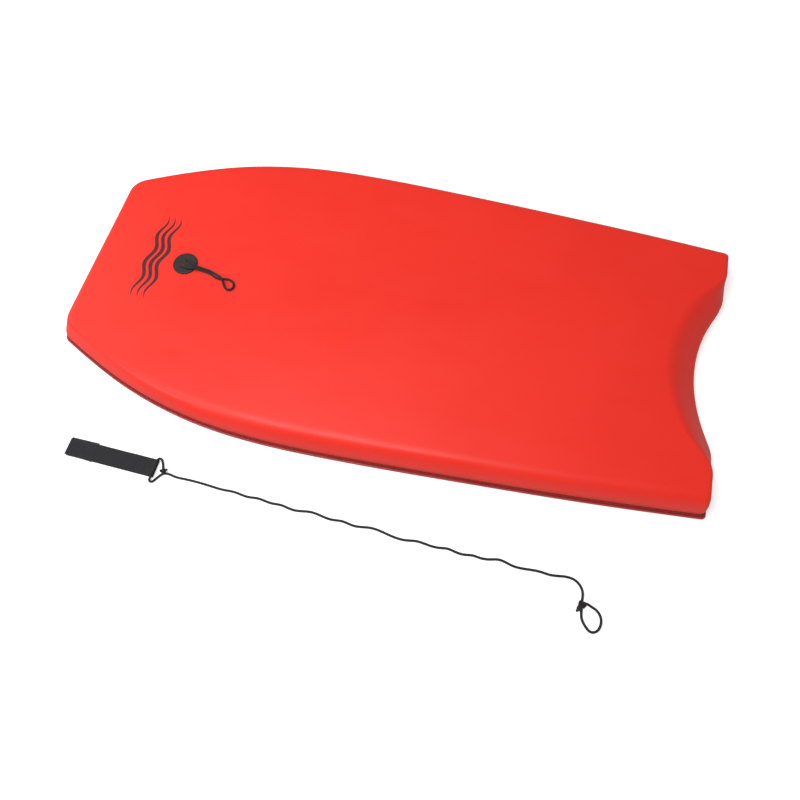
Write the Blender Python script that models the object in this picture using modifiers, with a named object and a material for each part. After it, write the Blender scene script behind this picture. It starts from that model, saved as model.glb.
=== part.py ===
"""A 41 inch bodyboard with a crescent tail, its leash plug and its wrist leash.

The nose points along -X, the tail along +X and the deck faces +Z. The origin is the centre of the
flat bottom. The board is a bead foam core in a soft deck skin, a slick bottom skin and a seam band
between them. A two-piece plug holds a short loop of cord, which hinges over the deck. The wrist
leash lies on the floor beside the board: a strap folded round a cord, a line and an end loop.
"""
import math

import bmesh
import bpy
import numpy as np
from mathutils import Matrix, Vector

# Board outline, in metres
LENGTH = 1.040
THICKNESS = 0.050
NOSE_HALF_WIDTH = 0.156
TAIL_HALF_WIDTH = 0.224
RAIL_STATIONS = [(0.12, 0.213), (0.27, 0.253), (0.45, 0.260), (0.65, 0.2505), (0.85, 0.2375)]
NOSE_CORNER = 0.010
CORNER_GROWTH = 0.6
TAIL_CORNER = 0.0065
CORNER_PULL = 0.6
CRESCENT_DEPTH = 0.0355
CRESCENT_HALF_WIDTH = 0.127
CRESCENT_SOFTNESS = 0.16

# Scooped bevel of the deck round the crescent
RIDGE_X = 0.4405
RIDGE_SWEEP = 0.0795
RIDGE_HALF_WIDTH = 0.172
BEVEL_FULL = 0.115
BEVEL_END = 0.190

# Board layers
DECK_SKIN = 0.003
BOTTOM_SKIN = 0.002
CLEARANCE = 0.0003
CORE_CLEARANCE = 0.0009
SEAM_BOTTOM = 0.0068
SEAM_TOP = 0.0120
SEAM_OUTER = 0.0019
SEAM_SLOPE = 0.0029
SEAM_INNER = 0.0082
CORE_SIDE = SEAM_INNER + CLEARANCE
DECK_FOOT = SEAM_TOP + CLEARANCE

# Heights of the deck skin's section from the seam up, and how far in it runs from the outline at
# each of them along the rails, at the nose and at the tail's tips
DECK_HEIGHTS = [DECK_FOOT, 0.0188, 0.0280, 0.0362, 0.0424, 0.0466, 0.0491, THICKNESS]
RAIL_INSETS = [0.0046, 0.0046, 0.0054, 0.0082, 0.0118, 0.0162, 0.0214, 0.0275]
NOSE_INSETS = [0.0046, 0.0046, 0.0080, 0.0114, 0.0140, 0.0160, 0.0182, 0.0220]
TAIL_INSETS = [0.0046, 0.0046, 0.0052, 0.0061, 0.0070, 0.0080, 0.0102, 0.0140]
# The same section at the crescent: (fixed inset, share of the ridge's inset, height)
BEVEL_SECTION = [
    (0.0046, 0.00, DECK_FOOT),
    (0.0016, 0.00, 0.0162),
    (0.0018, 0.02, 0.0212),
    (0.0040, 0.17, 0.0285),
    (0.0050, 0.36, 0.0358),
    (0.0050, 0.62, 0.0432),
    (0.0050, 0.86, 0.0482),
    (0.0050, 1.08, THICKNESS),
]
# Where the nose's section gives way to the rail's, along x
NOSE_SECTION_END = -0.500
RAIL_SECTION_START = -0.300
BOTTOM_SECTION = [(0.0045, 0.0), (0.0012, 0.0009), (0.0, 0.0030), (0.0, 0.0050), (0.0016, 0.0065)]
CORE_FOOT = [(0.0054, 0.0023), (0.0032, 0.0042), (0.0044, 0.0064), (CORE_SIDE, 0.0064)]

# Points along each half of a ring
NOSE_POINTS = 4
CORNER_POINTS = 5
RAIL_POINTS = 24
TAIL_POINTS = 18

# Leash plug
PLUG = Vector((-0.3485, 0.0, 0.0))
PLUG_DISC_RADIUS = 0.0205
PLUG_DISC_THICKNESS = 0.0020
PLUG_EDGE = 0.0007
PLUG_RIM = [(0.0022, 0.0), (PLUG_EDGE, 0.0004), (0.0, 0.0011)]
PLUG_FACE = 0.0026
STEM_RADIUS = 0.0110
STEM_WALL = 0.0016
STEM_BOTTOM = 0.020
SOCKET_RADIUS = 0.0140
SOCKET_GAP = 0.0004
SOCKET_TOP = 0.036
HOLE_OFFSET = 0.0070
HOLE_RADIUS = 0.0022
HOLE_LINE = Vector((0.28, 0.96, 0.0)).normalized()
LEG_LENGTHS = [0.0, 0.0043, 0.0081, 0.0108]
LEG_SPREADS = [0.0070, 0.0070, 0.0058, 0.0034]
DECK_TOP = THICKNESS
DISC_TOP = DECK_TOP + CLEARANCE + PLUG_DISC_THICKNESS
ABOVE_PLUG = 0.060
BELOW_PLUG = -0.010
UNDER_DECK = 0.045

# Cords
CORD_RADIUS = 0.00175
DECK_CORD_Z = DECK_TOP + CLEARANCE + CORD_RADIUS
DISC_CORD_Z = DISC_TOP + 2 * CLEARANCE + CORD_RADIUS
FLOOR_CORD_Z = CORD_RADIUS + 0.0001
KNOT_IN_PLUG = Vector((PLUG.x, PLUG.y, 0.0360))
KNOT_IN_PLUG_AXES = (0.0050, 0.0082, 0.0040)

# Wrist strap, in its own frame: x along the strap from the fold, y across it
STRAP_PLACE = Vector((-0.286, -0.3340, 0.0))
STRAP_TURN = math.radians(-1.1)
STRAP_LENGTH = 0.1445
STRAP_WIDTH = 0.0275
WEBBING = 0.0014
FOLD_RADIUS = 0.0028
FOLD_LIP = 0.0132
FLAP_PIVOT = Vector((-FOLD_LIP - 0.0014, 0.0, 2 * FOLD_RADIUS + WEBBING + CLEARANCE))
FLAP_GAP = 0.0009
HOOK_PATCH = (0.046, 0.0297, 0.0016)
HOOK_SHIFT = 0.0009
LOOP_PATCH = (0.070, 0.0245, 0.0016)
LOOP_INSET = 0.002

# Route of the plug's cord loop over the disc and the deck, from one hole round the eye to the other
LOOP_ROUTE = [
    (-0.3388, 0.0026, DISC_CORD_Z),
    (-0.3300, -0.0014, DISC_CORD_Z),
    (-0.3225, -0.0028, DECK_CORD_Z + 0.0009),
    (-0.3115, -0.0040, DECK_CORD_Z),
    (-0.2993, -0.0064, DECK_CORD_Z),
    (-0.2885, -0.0108, DECK_CORD_Z + 0.0014),
    (-0.2784, -0.0164, DECK_CORD_Z + 0.0042),
    (-0.2716, -0.0246, DECK_CORD_Z + 0.0014),
    (-0.2672, -0.0305, DECK_CORD_Z),
    (-0.2616, -0.0334, DECK_CORD_Z),
    (-0.2562, -0.0314, DECK_CORD_Z),
    (-0.2541, -0.0254, DECK_CORD_Z),
    (-0.2566, -0.0194, DECK_CORD_Z),
    (-0.2618, -0.0158, DECK_CORD_Z),
    (-0.2697, -0.0146, DECK_CORD_Z),
    (-0.2784, -0.0161, DECK_CORD_Z),
    (-0.2886, -0.0156, DECK_CORD_Z),
    (-0.2986, -0.0112, DECK_CORD_Z),
    (-0.3112, -0.0083, DECK_CORD_Z),
    (-0.3222, -0.0073, DECK_CORD_Z + 0.0009),
    (-0.3296, -0.0076, DISC_CORD_Z),
    (-0.3390, -0.0092, DISC_CORD_Z),
]
# Route of the bail through the strap's fold, from the knot and back to it, in the strap's frame
BAIL_ROUTE = [
    (0.0125, 0.0044, 0.0022),
    (0.0100, 0.0095, 0.0021),
    (0.0078, 0.0132, 0.0024),
    (0.0048, 0.0164, 0.0029),
    (0.0018, 0.0166, 0.0034),
    (0.0001, 0.0138, 0.0035),
    (0.0000, 0.0110, 0.0035),
    (0.0000, 0.0000, 0.0035),
    (0.0000, -0.0110, 0.0035),
    (-0.0002, -0.0140, 0.0035),
    (-0.0006, -0.0176, 0.0032),
    (0.0010, -0.0205, 0.0027),
    (0.0042, -0.0202, 0.0023),
    (0.0074, -0.0162, 0.0021),
    (0.0102, -0.0116, 0.0020),
    (0.0126, -0.0076, 0.0020),
]
KNOT_PLACE = (-0.2710, -0.3353, 0.0040)
KNOT_AXES = (0.0048, 0.0050, 0.0039)
# Route of the leash line over the floor, from the strap's knot to the end knot
LINE_ROUTE = [
    (-0.2650, -0.3372),
    (-0.2510, -0.3388),
    (-0.2368, -0.3390),
    (-0.2098, -0.3392),
    (-0.1895, -0.3404),
    (-0.1703, -0.3412),
    (-0.1558, -0.3406),
    (-0.1315, -0.3430),
    (-0.1172, -0.3418),
    (-0.0932, -0.3441),
    (-0.0818, -0.3434),
    (-0.0594, -0.3463),
    (-0.0331, -0.3433),
    (-0.0009, -0.3470),
    (0.0157, -0.3458),
    (0.0332, -0.3482),
    (0.0577, -0.3456),
    (0.0891, -0.3498),
    (0.1130, -0.3510),
    (0.1267, -0.3489),
    (0.1430, -0.3501),
    (0.1599, -0.3506),
    (0.1725, -0.3490),
    (0.1839, -0.3507),
    (0.1971, -0.3517),
    (0.2096, -0.3500),
    (0.2190, -0.3509),
    (0.2334, -0.3499),
    (0.2466, -0.3472),
    (0.2662, -0.3510),
    (0.2843, -0.3513),
    (0.3057, -0.3502),
    (0.3201, -0.3512),
    (0.3390, -0.3488),
    (0.3540, -0.3504),
    (0.3632, -0.3578),
    (0.3668, -0.3662),
    (0.3672, -0.3728),
]
END_KNOT_PLACE = (0.3668, -0.3822, 0.0041)
END_KNOT_AXES = (0.0052, 0.0084, 0.0040)
# Route of the end loop, from the end knot and back to it
END_LOOP_ROUTE = [
    (0.3738, -0.3783),
    (0.3800, -0.3803),
    (0.3869, -0.3831),
    (0.3924, -0.3880),
    (0.3955, -0.3947),
    (0.3957, -0.4014),
    (0.3934, -0.4083),
    (0.3886, -0.4127),
    (0.3830, -0.4132),
    (0.3774, -0.4094),
    (0.3725, -0.4038),
    (0.3693, -0.3975),
    (0.3684, -0.3920),
]

RED = (0.84, 0.035, 0.025)
SLICK_RED = (0.42, 0.030, 0.028)
SEAM_GREY = (0.050, 0.018, 0.018)
FOAM_WHITE = (0.88, 0.88, 0.86)
PLUG_BLACK = (0.045, 0.032, 0.032)
WEBBING_BLACK = (0.030, 0.030, 0.033)
CORD_BLACK = (0.026, 0.024, 0.025)


def make_material(name, colour, roughness, metallic=0.0):
    made = bpy.data.materials.new(name)
    made.use_nodes = True
    shader = made.node_tree.nodes["Principled BSDF"]
    shader.inputs["Base Color"].default_value = (*colour, 1.0)
    shader.inputs["Roughness"].default_value = roughness
    shader.inputs["Metallic"].default_value = metallic
    made.diffuse_color = (*colour, 1.0)
    return made


def make_collection(name):
    made = bpy.data.collections.new(name)
    bpy.context.scene.collection.children.link(made)
    return made


def add_object(name, data, collection, place=(0, 0, 0), parent=None):
    made = bpy.data.objects.new(name, data)
    made.location = place
    made.parent = parent
    collection.objects.link(made)
    return made


def finish_mesh(bm, name, collection, material, place=(0, 0, 0), parent=None, sharp_angle=35.0):
    """Turns bm into a named object, shaded smooth apart from its real edges."""
    mesh = bpy.data.meshes.new(name)
    bm.to_mesh(mesh)
    bm.free()
    mesh.shade_smooth()
    mesh.set_sharp_from_angle(angle=math.radians(sharp_angle))
    mesh.materials.append(material)
    return add_object(name, mesh, collection, place, parent)


def smooth_path(route, count):
    """A natural cubic spline through the route's points, read at count equal steps of its length."""
    points = np.array(route, float)
    last = len(points) - 1
    knots = np.concatenate([[0.0], np.cumsum(np.linalg.norm(np.diff(points, axis=0), axis=1))])
    spans = np.diff(knots)
    matrix = np.eye(last + 1)
    right = np.zeros_like(points)
    for i in range(1, last):
        matrix[i, i - 1] = spans[i - 1]
        matrix[i, i] = 2 * (spans[i - 1] + spans[i])
        matrix[i, i + 1] = spans[i]
        rise = (points[i + 1] - points[i]) / spans[i]
        run = (points[i] - points[i - 1]) / spans[i - 1]
        right[i] = 6 * (rise - run)
    bends = np.linalg.solve(matrix, right)
    at = np.linspace(0.0, knots[-1], 20 * len(points))
    k = np.clip(np.searchsorted(knots, at, side="right") - 1, 0, last - 1)
    span = spans[k][:, None]
    before = (knots[k + 1] - at)[:, None]
    after = (at - knots[k])[:, None]
    cubic = (bends[k] * before**3 + bends[k + 1] * after**3) / (6 * span)
    start = (points[k] / span - bends[k] * span / 6) * before
    end = (points[k + 1] / span - bends[k + 1] * span / 6) * after
    return even_steps(cubic + start + end, count)


def even_steps(line, count):
    """The same line, read at count equal steps of its length."""
    lengths = np.concatenate([[0.0], np.cumsum(np.linalg.norm(np.diff(line, axis=0), axis=1))])
    steps = np.linspace(0.0, lengths[-1], count)
    return np.column_stack([np.interp(steps, lengths, line[:, i]) for i in range(line.shape[1])])


def ease(low, high, value):
    share = min(max((value - low) / (high - low), 0.0), 1.0)
    return share * share * (3 - 2 * share)


def mix(a, b, share):
    return a + (b - a) * share


def tail_edge(y):
    """How far back the tail reaches at y: straight tips and a crescent, joined softly."""
    inside = 1 - (y / CRESCENT_HALF_WIDTH) ** 2
    depth = 0.5 * (inside + math.hypot(inside, CRESCENT_SOFTNESS))
    return LENGTH / 2 - CRESCENT_DEPTH * depth


def ridge_inset(y):
    """How far in front of the tail edge the bevel's ridge runs at y."""
    ridge = RIDGE_X + RIDGE_SWEEP * (y / RIDGE_HALF_WIDTH) ** 2
    return max(tail_edge(y) - ridge, 0.0)


def deck_section(y=None, at_nose=False):
    """The deck skin's section: the rail's, the nose's, or the tail's mix of tip and bevel at y."""
    if y is None:
        return list(zip(NOSE_INSETS if at_nose else RAIL_INSETS, DECK_HEIGHTS))
    share = 1 - ease(BEVEL_FULL, BEVEL_END, abs(y))
    inset = ridge_inset(y)
    section = []
    for tip, tip_z, (fixed, part, bevel_z) in zip(TAIL_INSETS, DECK_HEIGHTS, BEVEL_SECTION):
        section.append((mix(tip, fixed + part * inset, share), mix(tip_z, bevel_z, share)))
    return section


def shrunk(section, distance):
    """The same section moved inwards, square to itself."""
    line = np.array(section, float)
    along = np.gradient(line, axis=0)
    along /= np.linalg.norm(along, axis=1)[:, None]
    return line + distance * np.column_stack([along[:, 1], -along[:, 0]])


def core_section(y=None, at_nose=False):
    """The foam core's section, clear of both skins and of the seam band."""
    inner = shrunk(deck_section(y, at_nose)[1:], DECK_SKIN + CORE_CLEARANCE)
    upper = [(max(inset, CORE_SIDE), height) for inset, height in inner]
    return [*CORE_FOOT, (CORE_SIDE, SEAM_TOP), *upper]


def constant(section):
    """The same section all the way round, as a function like deck_section."""
    return lambda y=None, at_nose=False: section


def rail_line():
    """The widest line of one rail, from nose to tail, with its inward normals."""
    stations = [(0.0, NOSE_HALF_WIDTH), *RAIL_STATIONS, (1.0, TAIL_HALF_WIDTH)]
    line = smooth_path([((share - 0.5) * LENGTH, half) for share, half in stations], 240)
    along = np.gradient(line, axis=0)
    along /= np.linalg.norm(along, axis=1)[:, None]
    return line, np.column_stack([along[:, 1], -along[:, 0]])


def cut_back(line, distance):
    """The line without its first stretch of that length."""
    lengths = np.concatenate([[0.0], np.cumsum(np.linalg.norm(np.diff(line, axis=0), axis=1))])
    start = [np.interp(distance, lengths, line[:, 0]), np.interp(distance, lengths, line[:, 1])]
    return np.vstack([start, line[lengths > distance + 1e-7]])


def rounded_corner(start, corner, end):
    """Points of a soft corner between two trimmed lines."""
    points = []
    for i in range(1, CORNER_POINTS):
        t = i / CORNER_POINTS
        first = mix(start, corner, CORNER_PULL)
        second = mix(end, corner, CORNER_PULL)
        inner = 3 * first * t * (1 - t) ** 2 + 3 * second * t * t * (1 - t)
        points.append(start * (1 - t) ** 3 + inner + end * t**3)
    return np.array(points)


def half_ring(section_at, index):
    """One half of a ring round the board, from the nose's middle to the tail's middle.

    section_at() gives the rail's section, section_at(at_nose=True) the nose's, which has the same
    heights, and section_at(y) the tail's.
    """
    inset, height = section_at()[index]
    nose_inset = section_at(at_nose=True)[index][0]
    line, inward = rail_line()
    share = np.array([ease(NOSE_SECTION_END, RAIL_SECTION_START, x) for x in line[:, 0]])
    moved = line + mix(nose_inset, inset, share)[:, None] * inward
    nose_x = -LENGTH / 2 + nose_inset
    tail_y = np.linspace(TAIL_HALF_WIDTH + 0.01, 0.0, 160)
    tail = np.array([(tail_edge(y) - section_at(y)[index][0], y) for y in tail_y])
    behind = np.interp(moved[:, 1], tail[::-1, 1], tail[::-1, 0])
    rail = moved[(moved[:, 0] > nose_x) & (moved[:, 0] < behind)]
    nose_corner = np.array([nose_x, np.interp(nose_x, moved[:, 0], moved[:, 1])])
    tail_corner_y = rail[-1, 1]
    tail_corner = np.array([np.interp(tail_corner_y, tail[::-1, 1], tail[::-1, 0]), tail_corner_y])
    nose = np.linspace((nose_x, 0.0), nose_corner, 20)
    rail = np.vstack([nose_corner, rail, tail_corner])
    tail = np.vstack([tail_corner, tail[tail[:, 1] < tail_corner_y]])

    nose_cut = NOSE_CORNER + CORNER_GROWTH * nose_inset
    nose = cut_back(nose[::-1], nose_cut)[::-1]
    rail = cut_back(rail, nose_cut)
    rail = cut_back(rail[::-1], TAIL_CORNER)[::-1]
    tail = cut_back(tail, TAIL_CORNER)
    pieces = [
        even_steps(nose, NOSE_POINTS),
        rounded_corner(nose[-1], nose_corner, rail[0]),
        even_steps(rail, RAIL_POINTS),
        rounded_corner(rail[-1], tail_corner, tail[0]),
        even_steps(tail, TAIL_POINTS),
    ]
    flat = np.vstack(pieces)
    first_tail = len(flat) - TAIL_POINTS
    heights = [height] * first_tail
    heights += [section_at(y)[index][1] for y in flat[first_tail:, 1]]
    flat[0, 1] = 0.0
    flat[-1, 1] = 0.0
    return [Vector((x, y, z)) for (x, y), z in zip(flat, heights)]


def loft_half(rings, bottom_cap=False, top_cap=False, closed_section=False):
    """Joins half rings, lowest first, into one half of the board, open at the middle plane."""
    bm = bmesh.new()
    rows = [[bm.verts.new(point) for point in ring] for ring in rings]
    pairs = list(zip(rows, rows[1:]))
    if closed_section:
        pairs.append((rows[-1], rows[0]))
    for low, high in pairs:
        for i in range(len(low) - 1):
            bm.faces.new((low[i], high[i], high[i + 1], low[i + 1]))
    if bottom_cap:
        bm.faces.new(rows[0])
    if top_cap:
        bm.faces.new(rows[-1][::-1])
    return bm


def mirror_half(obj):
    """Both halves of a piece that is open at the middle plane."""
    mirror = obj.modifiers.new("both_sides", "MIRROR")
    mirror.use_axis = (False, True, False)
    mirror.use_clip = True
    mirror.merge_threshold = 0.0001


def shell(obj, thickness):
    """Gives an open surface its thickness, inwards."""
    solidify = obj.modifiers.new("skin", "SOLIDIFY")
    solidify.thickness = thickness
    solidify.offset = -1.0
    solidify.use_even_offset = True


def cut(obj, cutter, name):
    hole = obj.modifiers.new(name, "BOOLEAN")
    hole.operation = "DIFFERENCE"
    hole.solver = "EXACT"
    hole.object = cutter


def make_cutter(name, collection, radius, low, high, place, sides=48):
    """A cylinder that cuts from height low to height high."""
    bm = bmesh.new()
    depth = high - low
    bmesh.ops.create_cone(
        bm, cap_ends=True, segments=sides, radius1=radius, radius2=radius, depth=depth
    )
    mesh = bpy.data.meshes.new(name)
    bm.to_mesh(mesh)
    bm.free()
    made = add_object(name, mesh, collection, (place.x, place.y, (low + high) / 2))
    made.hide_render = True
    made.display_type = "WIRE"
    return made


def make_turned(name, collection, material, profile, place, steps=48):
    """A round piece: the profile runs from its axis at the top, down its outer side and back."""
    mesh = bpy.data.meshes.new(name)
    edges = [(i, i + 1) for i in range(len(profile) - 1)]
    mesh.from_pydata([(r, 0.0, z) for r, z in profile], edges, [])
    mesh.materials.append(material)
    made = add_object(name, mesh, collection, place)
    screw = made.modifiers.new("turn", "SCREW")
    screw.axis = "Z"
    screw.steps = steps
    screw.render_steps = steps
    screw.use_merge_vertices = True
    screw.merge_threshold = 0.00005
    screw.use_smooth_shade = True
    return made


def make_cord(name, collection, material, points, place=(0, 0, 0), parent=None):
    """A tube of cord along points, which are measured from place."""
    curve = bpy.data.curves.new(name, "CURVE")
    curve.dimensions = "3D"
    curve.bevel_depth = CORD_RADIUS
    curve.bevel_resolution = 2
    curve.use_fill_caps = True
    spline = curve.splines.new("POLY")
    spline.points.add(len(points) - 1)
    for target, point in zip(spline.points, points):
        target.co = (*point, 1.0)
    curve.materials.append(material)
    return add_object(name, curve, collection, place, parent)


def make_knot(name, collection, material, place, axes, turn=0.0):
    """The outer shape of a drawn-up knot."""
    bm = bmesh.new()
    bmesh.ops.create_uvsphere(bm, u_segments=12, v_segments=8, radius=1.0)
    bmesh.ops.scale(bm, vec=axes, verts=bm.verts)
    bmesh.ops.rotate(bm, cent=(0, 0, 0), matrix=Matrix.Rotation(turn, 3, "Z"), verts=bm.verts)
    return finish_mesh(bm, name, collection, material, place)


def make_pad(name, collection, material, size, centre, parent, place=(0, 0, 0)):
    """A flat layer of the given size, centred at centre, with its origin at place."""
    bm = bmesh.new()
    bmesh.ops.create_cube(bm, size=1.0)
    bmesh.ops.scale(bm, vec=size, verts=bm.verts)
    bmesh.ops.translate(bm, vec=Vector(centre) - Vector(place), verts=bm.verts)
    return finish_mesh(bm, name, collection, material, place, parent)


def make_board(parts, cutters, materials):
    """Core, deck skin, bottom skin and seam band."""
    stem = STEM_RADIUS + CLEARANCE
    socket = SOCKET_RADIUS + CLEARANCE
    flange = PLUG_DISC_RADIUS + CLEARANCE
    stem_bore = make_cutter("stem_bore", cutters, stem, UNDER_DECK, ABOVE_PLUG, PLUG)
    socket_bore = make_cutter("socket_bore", cutters, socket, BELOW_PLUG, ABOVE_PLUG, PLUG)
    disc_bore = make_cutter("disc_bore", cutters, flange, BELOW_PLUG, -BELOW_PLUG, PLUG)

    steps = range(len(core_section()))
    bm = loft_half([half_ring(core_section, i) for i in steps], bottom_cap=True, top_cap=True)
    core = finish_mesh(bm, "foam_core", parts, materials["foam"])
    mirror_half(core)
    cut(core, socket_bore, "plug_bore")

    steps = range(len(DECK_HEIGHTS))
    bm = loft_half([half_ring(deck_section, i) for i in steps], top_cap=True)
    deck = finish_mesh(bm, "deck_skin", parts, materials["deck"])
    mirror_half(deck)
    shell(deck, DECK_SKIN)
    cut(deck, stem_bore, "plug_bore")

    steps = range(len(BOTTOM_SECTION))
    bm = loft_half([half_ring(constant(BOTTOM_SECTION), i) for i in steps], bottom_cap=True)
    bottom = finish_mesh(bm, "bottom_skin", parts, materials["slick"])
    mirror_half(bottom)
    shell(bottom, BOTTOM_SKIN)
    cut(bottom, disc_bore, "plug_bore")

    outer = [(SEAM_OUTER, SEAM_BOTTOM), (SEAM_OUTER + SEAM_SLOPE, SEAM_TOP)]
    band = [*outer, (SEAM_INNER, SEAM_TOP), (SEAM_INNER, SEAM_BOTTOM)]
    steps = range(len(band))
    bm = loft_half([half_ring(constant(band), i) for i in steps], closed_section=True)
    mirror_half(finish_mesh(bm, "rail_seam_band", parts, materials["seam"]))


def make_plug(parts, cutters, materials):
    """The two halves of the leash plug and what the cord loop has inside them."""
    under = DECK_TOP + CLEARANCE
    stem_inner = STEM_RADIUS - STEM_WALL
    ceiling = DISC_TOP - PLUG_FACE
    profile = [
        (0.0, DISC_TOP),
        *[(PLUG_DISC_RADIUS - inset, DISC_TOP - drop) for inset, drop in PLUG_RIM],
        (PLUG_DISC_RADIUS, under),
        (STEM_RADIUS, under),
        (STEM_RADIUS, STEM_BOTTOM),
        (stem_inner, STEM_BOTTOM),
        (stem_inner, ceiling),
        (0.0, ceiling),
    ]
    top = make_turned("plug_top_disc", parts, materials["plug"], profile, PLUG)
    for side, label in ((1, "a"), (-1, "b")):
        place = PLUG + side * HOLE_OFFSET * HOLE_LINE
        name = "cord_hole_" + label
        hole = make_cutter(name, cutters, HOLE_RADIUS, UNDER_DECK, ABOVE_PLUG, place, sides=20)
        cut(top, hole, name)

    floor = CLEARANCE
    flange_top = BOTTOM_SKIN - 0.0001
    socket_inner = STEM_RADIUS + SOCKET_GAP
    profile = [
        (0.0, flange_top),
        (socket_inner, flange_top),
        (socket_inner, SOCKET_TOP),
        (SOCKET_RADIUS, SOCKET_TOP),
        (SOCKET_RADIUS, flange_top),
        (PLUG_DISC_RADIUS, flange_top),
        (PLUG_DISC_RADIUS, floor + PLUG_EDGE),
        (PLUG_DISC_RADIUS - PLUG_EDGE, floor),
        (0.0, floor),
    ]
    make_turned("plug_bottom_disc", parts, materials["plug"], profile, PLUG)

    turn = math.atan2(HOLE_LINE.y, HOLE_LINE.x) - math.pi / 2
    make_knot("plug_loop_knot", parts, materials["cord"], KNOT_IN_PLUG, KNOT_IN_PLUG_AXES, turn)
    for side, label in ((1, "a"), (-1, "b")):
        points = []
        for spread, down in zip(LEG_SPREADS, LEG_LENGTHS):
            points.append(side * spread * HOLE_LINE + Vector((0.0, 0.0, DISC_TOP - down)))
        make_cord("plug_loop_leg_" + label, parts, materials["cord"], smooth_path(points, 7), PLUG)


def make_plug_loop(parts, materials):
    """The doubled cord with its eye. Its origin is on the line through the plug's two holes."""
    pivot = Vector((PLUG.x, PLUG.y, DISC_CORD_Z))
    first = pivot + HOLE_OFFSET * HOLE_LINE
    last = pivot - HOLE_OFFSET * HOLE_LINE
    line = smooth_path([first, *LOOP_ROUTE, last], 60)
    make_cord("plug_loop_cord", parts, materials["cord"], line - np.array(pivot), pivot)


def make_strap(parts, materials):
    """The wrist strap: webbing folded round the bail, a flap and the two fastener patches."""
    frame = bpy.data.objects.new("strap_frame", None)
    parts.objects.link(frame)
    frame.location = STRAP_PLACE
    frame.rotation_euler = (0.0, 0.0, STRAP_TURN)

    fold_z = FOLD_RADIUS + WEBBING / 2
    line = [(-STRAP_LENGTH, WEBBING / 2)]
    for i in range(13):
        angle = math.pi * i / 12 - math.pi / 2
        line.append((FOLD_RADIUS * math.cos(angle), fold_z + FOLD_RADIUS * math.sin(angle)))
    line.append((-FOLD_LIP, fold_z + FOLD_RADIUS))
    bm = bmesh.new()
    near = [bm.verts.new((x, -STRAP_WIDTH / 2, z)) for x, z in line]
    far = [bm.verts.new((x, STRAP_WIDTH / 2, z)) for x, z in line]
    for i in range(len(line) - 1):
        bm.faces.new((near[i], near[i + 1], far[i + 1], far[i]))
    webbing = finish_mesh(bm, "strap_webbing", parts, materials["webbing"], parent=frame)
    solidify = webbing.modifiers.new("webbing", "SOLIDIFY")
    solidify.thickness = WEBBING
    solidify.offset = 0.0
    solidify.use_even_offset = True

    pivot_x = FLAP_PIVOT.x
    flap_length = STRAP_LENGTH + pivot_x - FLAP_GAP
    flap_middle = (pivot_x - FLAP_GAP - STRAP_LENGTH) / 2
    flap_size = (flap_length, STRAP_WIDTH, WEBBING)
    flap_z = 2 * FOLD_RADIUS + WEBBING / 2
    centre = (flap_middle, 0.0, flap_z)
    make_pad("strap_flap", parts, materials["webbing"], flap_size, centre, frame, FLAP_PIVOT)

    patch_middle = -STRAP_LENGTH + HOOK_PATCH[0] / 2
    hook_z = flap_z - WEBBING / 2 - CLEARANCE - HOOK_PATCH[2] / 2
    centre = (patch_middle, HOOK_SHIFT, hook_z)
    tape = materials["hook_tape"]
    make_pad("strap_hook_patch", parts, tape, HOOK_PATCH, centre, frame, FLAP_PIVOT)
    loop_middle = -STRAP_LENGTH + LOOP_INSET + LOOP_PATCH[0] / 2
    centre = (loop_middle, 0.0, WEBBING + CLEARANCE + LOOP_PATCH[2] / 2)
    make_pad("strap_loop_patch", parts, tape, LOOP_PATCH, centre, frame)

    make_cord("bail_cord", parts, materials["cord"], smooth_path(BAIL_ROUTE, 34), parent=frame)
    make_knot("strap_knot", parts, materials["cord"], KNOT_PLACE, KNOT_AXES)


def make_line(parts, materials):
    """The leash line, its end knot and the end loop, all lying on the floor."""
    line = [(x, y, FLOOR_CORD_Z) for x, y in LINE_ROUTE]
    make_cord("leash_cord", parts, materials["cord"], smooth_path(line, 80))
    make_knot("end_knot", parts, materials["cord"], END_KNOT_PLACE, END_KNOT_AXES)
    loop = [(x, y, FLOOR_CORD_Z) for x, y in END_LOOP_ROUTE]
    make_cord("end_loop_cord", parts, materials["cord"], smooth_path(loop, 20))


def main():
    for old in list(bpy.data.objects):
        bpy.data.objects.remove(old)
    parts = make_collection("bodyboard")
    cutters = make_collection("cutters")
    materials = {
        "foam": make_material("foam", FOAM_WHITE, 0.9),
        "deck": make_material("deck", RED, 0.5),
        "slick": make_material("slick", SLICK_RED, 0.35),
        "seam": make_material("seam", SEAM_GREY, 0.6),
        "plug": make_material("plug", PLUG_BLACK, 0.5),
        "webbing": make_material("webbing", WEBBING_BLACK, 0.85),
        "hook_tape": make_material("hook_tape", WEBBING_BLACK, 0.95),
        "cord": make_material("cord", CORD_BLACK, 0.8),
    }
    make_board(parts, cutters, materials)
    make_plug(parts, cutters, materials)
    make_plug_loop(parts, materials)
    make_strap(parts, materials)
    make_line(parts, materials)


main()
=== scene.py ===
"""The looks of a bodyboard and its wrist leash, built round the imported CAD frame.

The frame's axes: x from the nose to the tail, y across the board, z up out of the deck. Metres.
"""
import math
import random
from contextlib import contextmanager

import bmesh
import bpy
import numpy as np
from mathutils import Matrix, Vector, noise


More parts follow.
